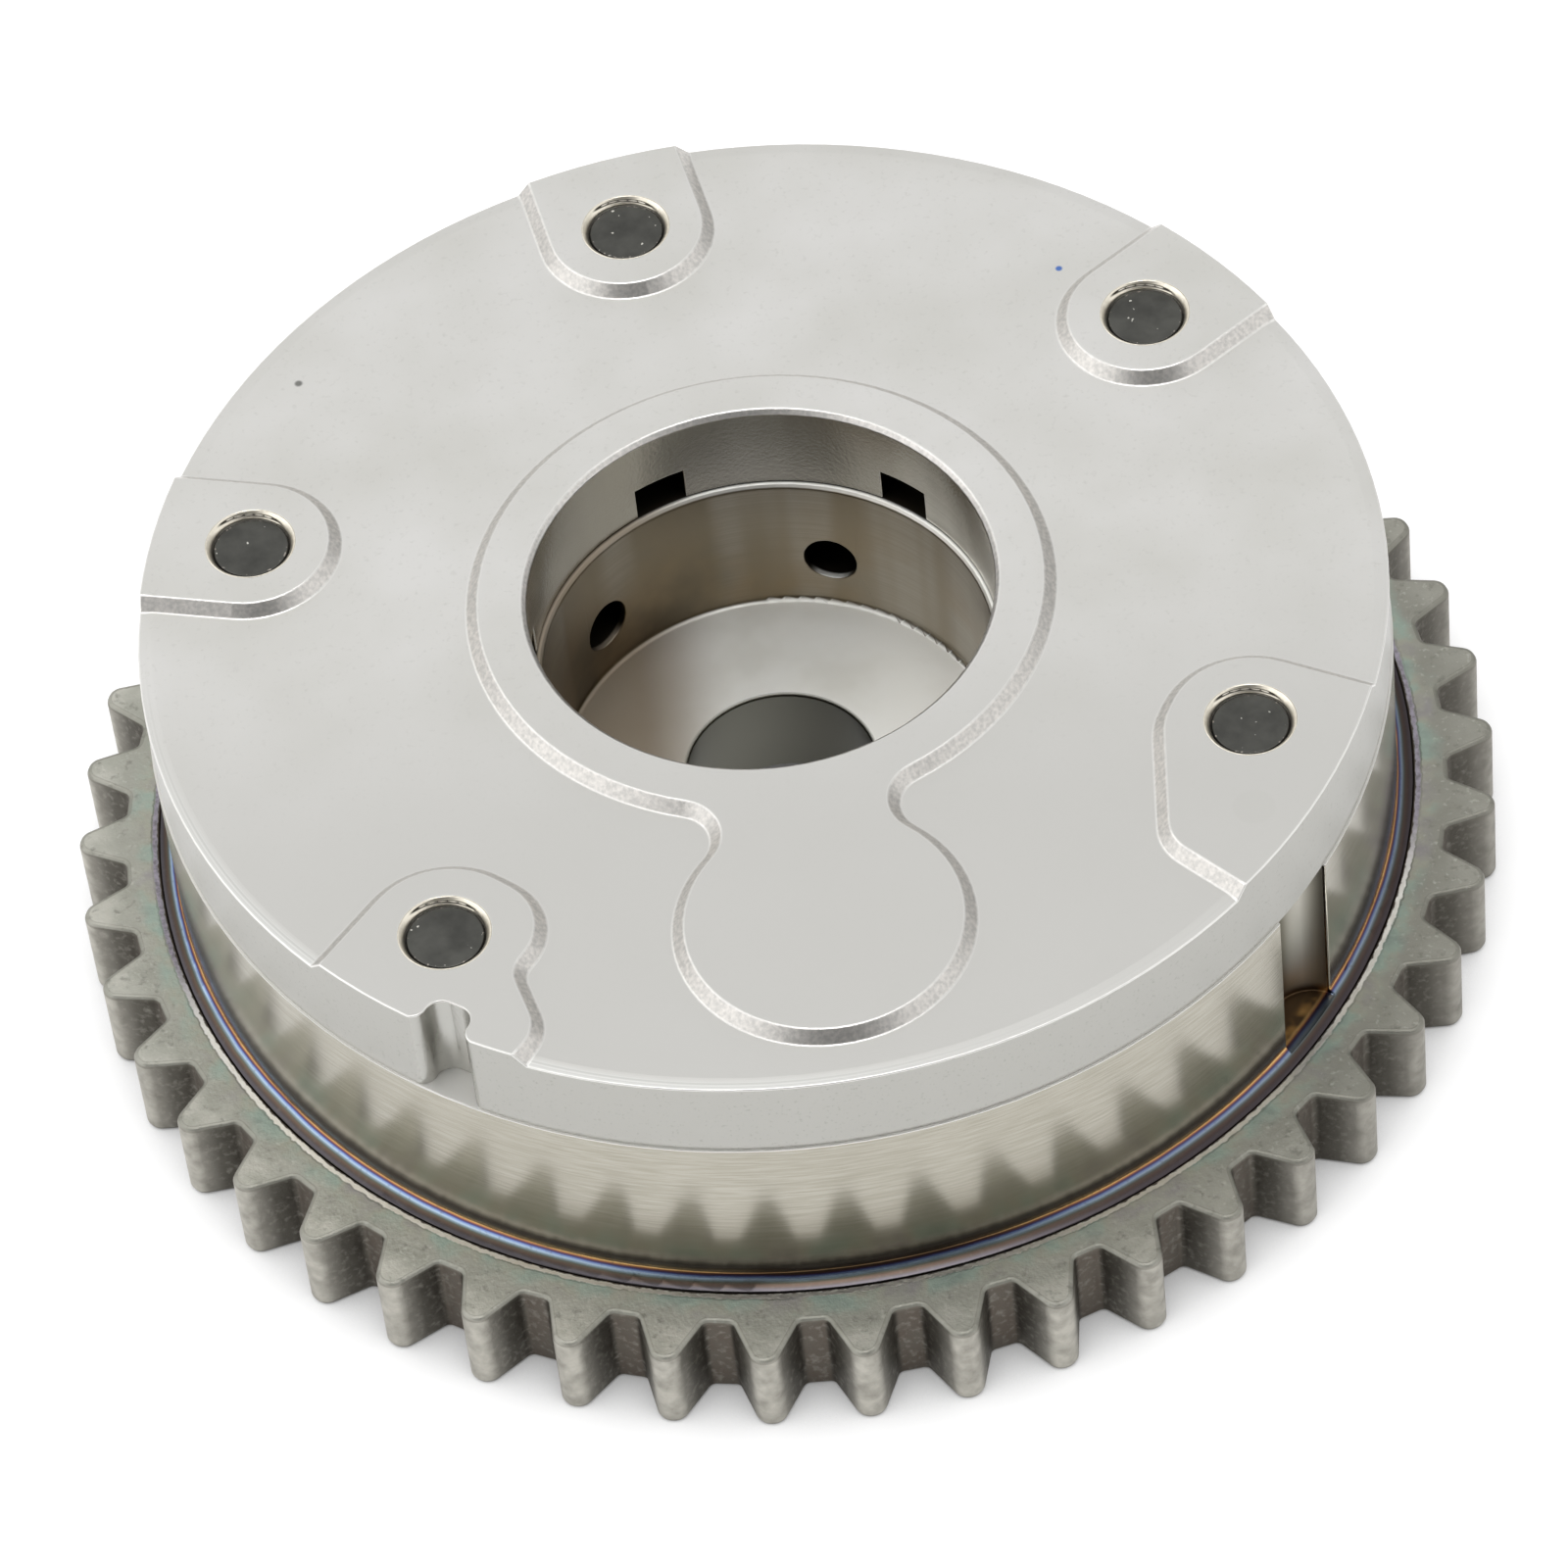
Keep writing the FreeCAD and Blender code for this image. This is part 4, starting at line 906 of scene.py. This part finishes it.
def thread_mouths():
    """One closed band in each countersink, with a helical groove in its face.

    With s from 0 to 1 up the band and the cone's radius c(z) = bolt_r + sink_w * (z - foot) / sink_h, the
    face is r = c(z) - band_thick * sin(pi * s) ^ 0.5 * (1 - g). The groove is g = exp(-(d / half) ^ 2),
    where d is the height above the helix z = pad_level - thread_drop + pitch * turn, and it fades out
    sideways where the thread leaves the cone. The back is r = c(z) + back_depth, inside the cover.
    """
    angle = np.linspace(-np.pi, np.pi, turns, endpoint=False)[:, None]
    s = np.linspace(0, 1, rows)[None, :]
    z = band_low + s * (band_high - band_low)
    cone = bolt_r + sink_w * (z - (pad_level - sink_h)) / sink_h
    above_helix = z - (pad_level - thread_drop + thread_pitch * angle / (2 * np.pi))
    fade = np.clip((groove_end - np.abs(angle)) / groove_fade, 0, 1)
    groove = np.exp(-(above_helix / groove_half) ** 2) * fade * fade * (3 - 2 * fade)
    face = cone - band_thick * np.sqrt(np.sin(np.pi * np.clip(s, 0.02, 0.98))) * (1 - groove)
    back = np.broadcast_to(cone + back_depth, face.shape)
    radius = np.concatenate([face, back[:, ::-1]], 1)
    level = np.broadcast_to(np.concatenate([z, z[:, ::-1]], 1), radius.shape)
    # The groove's share goes to the material, which paints it dark as shade.
    groove_shade = np.concatenate([groove, np.zeros_like(groove)], 1)

    x, y = -radius * np.sin(angle), radius * np.cos(angle)
    rings = [np.stack([x + cx, y + cy, level], 2).reshape(-1, 3) for cx, cy in bolt_axes]
    points = np.concatenate(rings)
    around, along = np.meshgrid(np.arange(turns), np.arange(2 * rows), indexing="ij")
    next_around, next_along = (around + 1) % turns, (along + 1) % (2 * rows)
    quads = np.stack([around * 2 * rows + along, around * 2 * rows + next_along,
                      next_around * 2 * rows + next_along, next_around * 2 * rows + along], 2).reshape(-1, 4)
    quads = np.concatenate([quads + i * turns * 2 * rows for i in range(len(bolt_axes))])
    mesh = bpy.data.meshes.new("thread_mouths")
    mesh.from_pydata(points.tolist(), [], quads.tolist())
    mesh.attributes.new("groove", "FLOAT", "POINT").data.foreach_set(
        "value", np.tile(groove_shade.ravel(), len(bolt_axes)).astype(np.float32))
    mesh.shade_smooth()
    mesh.materials.append(countersunk_aluminium())
    piece = bpy.data.objects.new("thread_mouths", mesh)
    bpy.context.scene.collection.objects.link(piece)
    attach(piece, "housing")
    return piece


mouths = thread_mouths()
shown = mouths.data.polygons[rows // 2]
inward = shown.normal.xy.dot(shown.center.xy - Vector(bolt_axes[0])) < 0
print("thread mouths have", len(mouths.data.polygons), "faces, which face the bolt:", inward)

# %% [markdown]
# ## Floor and light
#
# The object stands on a white table in soft studio light. The floor looks white to the camera and in the
# metal's reflections because it gives them a little light of its own. That light is less where the object
# stands close above the floor, so a soft contact shadow stays and the centre hole looks dark.
#
# Metal shows what stands round it, so the room matters as much as the colours: white walls, a bright
# window box low on each side, a skylight straight overhead that reaches down into the bore, a dark patch
# behind the camera where the photographer stands, and a greyer corner at the back right. The camera
# itself sees plain white.

# %% Floor
half = 1.5
shade_reach = 14 * mm
open_share = 0.8
glow_most = 0.82


def table_top():
    """A large flat quad at the level of the teeth's underside."""
    corners = [(-half, -half, 0), (half, -half, 0), (half, half, 0), (-half, half, 0)]
    mesh = bpy.data.meshes.new("white_table")
    mesh.from_pydata(corners, [], [(0, 1, 2, 3)])
    table = bpy.data.objects.new("white_table", mesh)
    bpy.context.scene.collection.objects.link(table)
    material = bpy.data.materials.new("table_white_sweep")
    material.use_nodes = True
    tree = material.node_tree
    tree.nodes.clear()
    path = add(tree, "LightPath")
    seen = add(tree, "Math", {0: path.outputs["Is Camera Ray"], 1: path.outputs["Is Glossy Ray"]},
               operation="MAXIMUM")
    seen = add(tree, "Math", {0: seen, 1: path.outputs["Is Transmission Ray"]}, operation="MAXIMUM")
    open_sky = add(tree, "AmbientOcclusion", {"Distance": shade_reach}, samples=8).outputs["AO"]
    lit = add(tree, "MapRange", {0: open_sky, 2: open_share, 4: glow_most})
    glow = add(tree, "Emission", {"Color": "#FFFFFF", "Strength": both(tree, seen, lit)})
    paper = add(tree, "BsdfDiffuse", {"Color": "#A4A4A4"})
    add(tree, "OutputMaterial", {"Surface": add(tree, "AddShader", {0: glow, 1: paper})})
    mesh.materials.append(material)


table_top()
print("table at z = 0")

# %% World and lamp
room = [
    ("window_box_left", (-0.863, -0.219, 0.455), 0.78, 0.95, 1.42),
    ("window_box_right", (0.863, -0.219, 0.455), 0.78, 0.95, 1.05),
    ("skylight", (0.0, -0.10, 0.995), 0.955, 0.985, 5.4),
    ("photographer", (0.0, -0.765, 0.644), 0.80, 0.94, 0.04),
    ("grey_corner", (0.765, 0.644, 0.0), 0.75, 0.95, 0.55),
]
room_level = 0.84


def studio_world():
    """Each thing in the room is a soft round patch: the dot product with its direction sets its share."""
    world = bpy.data.worlds.new("studio")
    bpy.context.scene.world = world
    world.use_nodes = True
    tree = world.node_tree
    background = tree.nodes["Background"]
    background.inputs["Color"].default_value = linear("#FFFFFF")
    direction = add(tree, "TexCoord").outputs["Generated"]
    level = room_level
    for name, towards, edge, core, strength in room:
        close = add(tree, "VectorMath", {0: direction, 1: towards}, operation="DOT_PRODUCT", label=name)
        share = add(tree, "MapRange", {0: close.outputs["Value"], 1: edge, 2: core}, **smooth)
        level = add(tree, "Mix", {"Factor": share, "A": level, "B": strength})
    path = add(tree, "LightPath").outputs["Is Camera Ray"]
    level = add(tree, "Mix", {"Factor": path, "A": level, "B": 1.0})
    tree.links.new(level.outputs[0], background.inputs["Strength"])


def soft_lamp(name, place, size, power):
    """A square area lamp that faces the part."""
    light = bpy.data.lights.new(name, "AREA")
    light.shape = "SQUARE"
    light.size = size
    light.energy = power
    lamp = bpy.data.objects.new(name, light)
    turned_to_part = (-Vector(place)).to_track_quat("-Z", "Y").to_matrix().to_4x4()
    lamp.matrix_world = Matrix.Translation(place) @ turned_to_part
    bpy.context.scene.collection.objects.link(lamp)


studio_world()
soft_lamp("window_left", (-0.7, 0.35, 0.8), size=0.6, power=1.0)
bpy.context.scene.view_settings.view_transform = "Standard"
print("room:", [name for name, *_ in room])
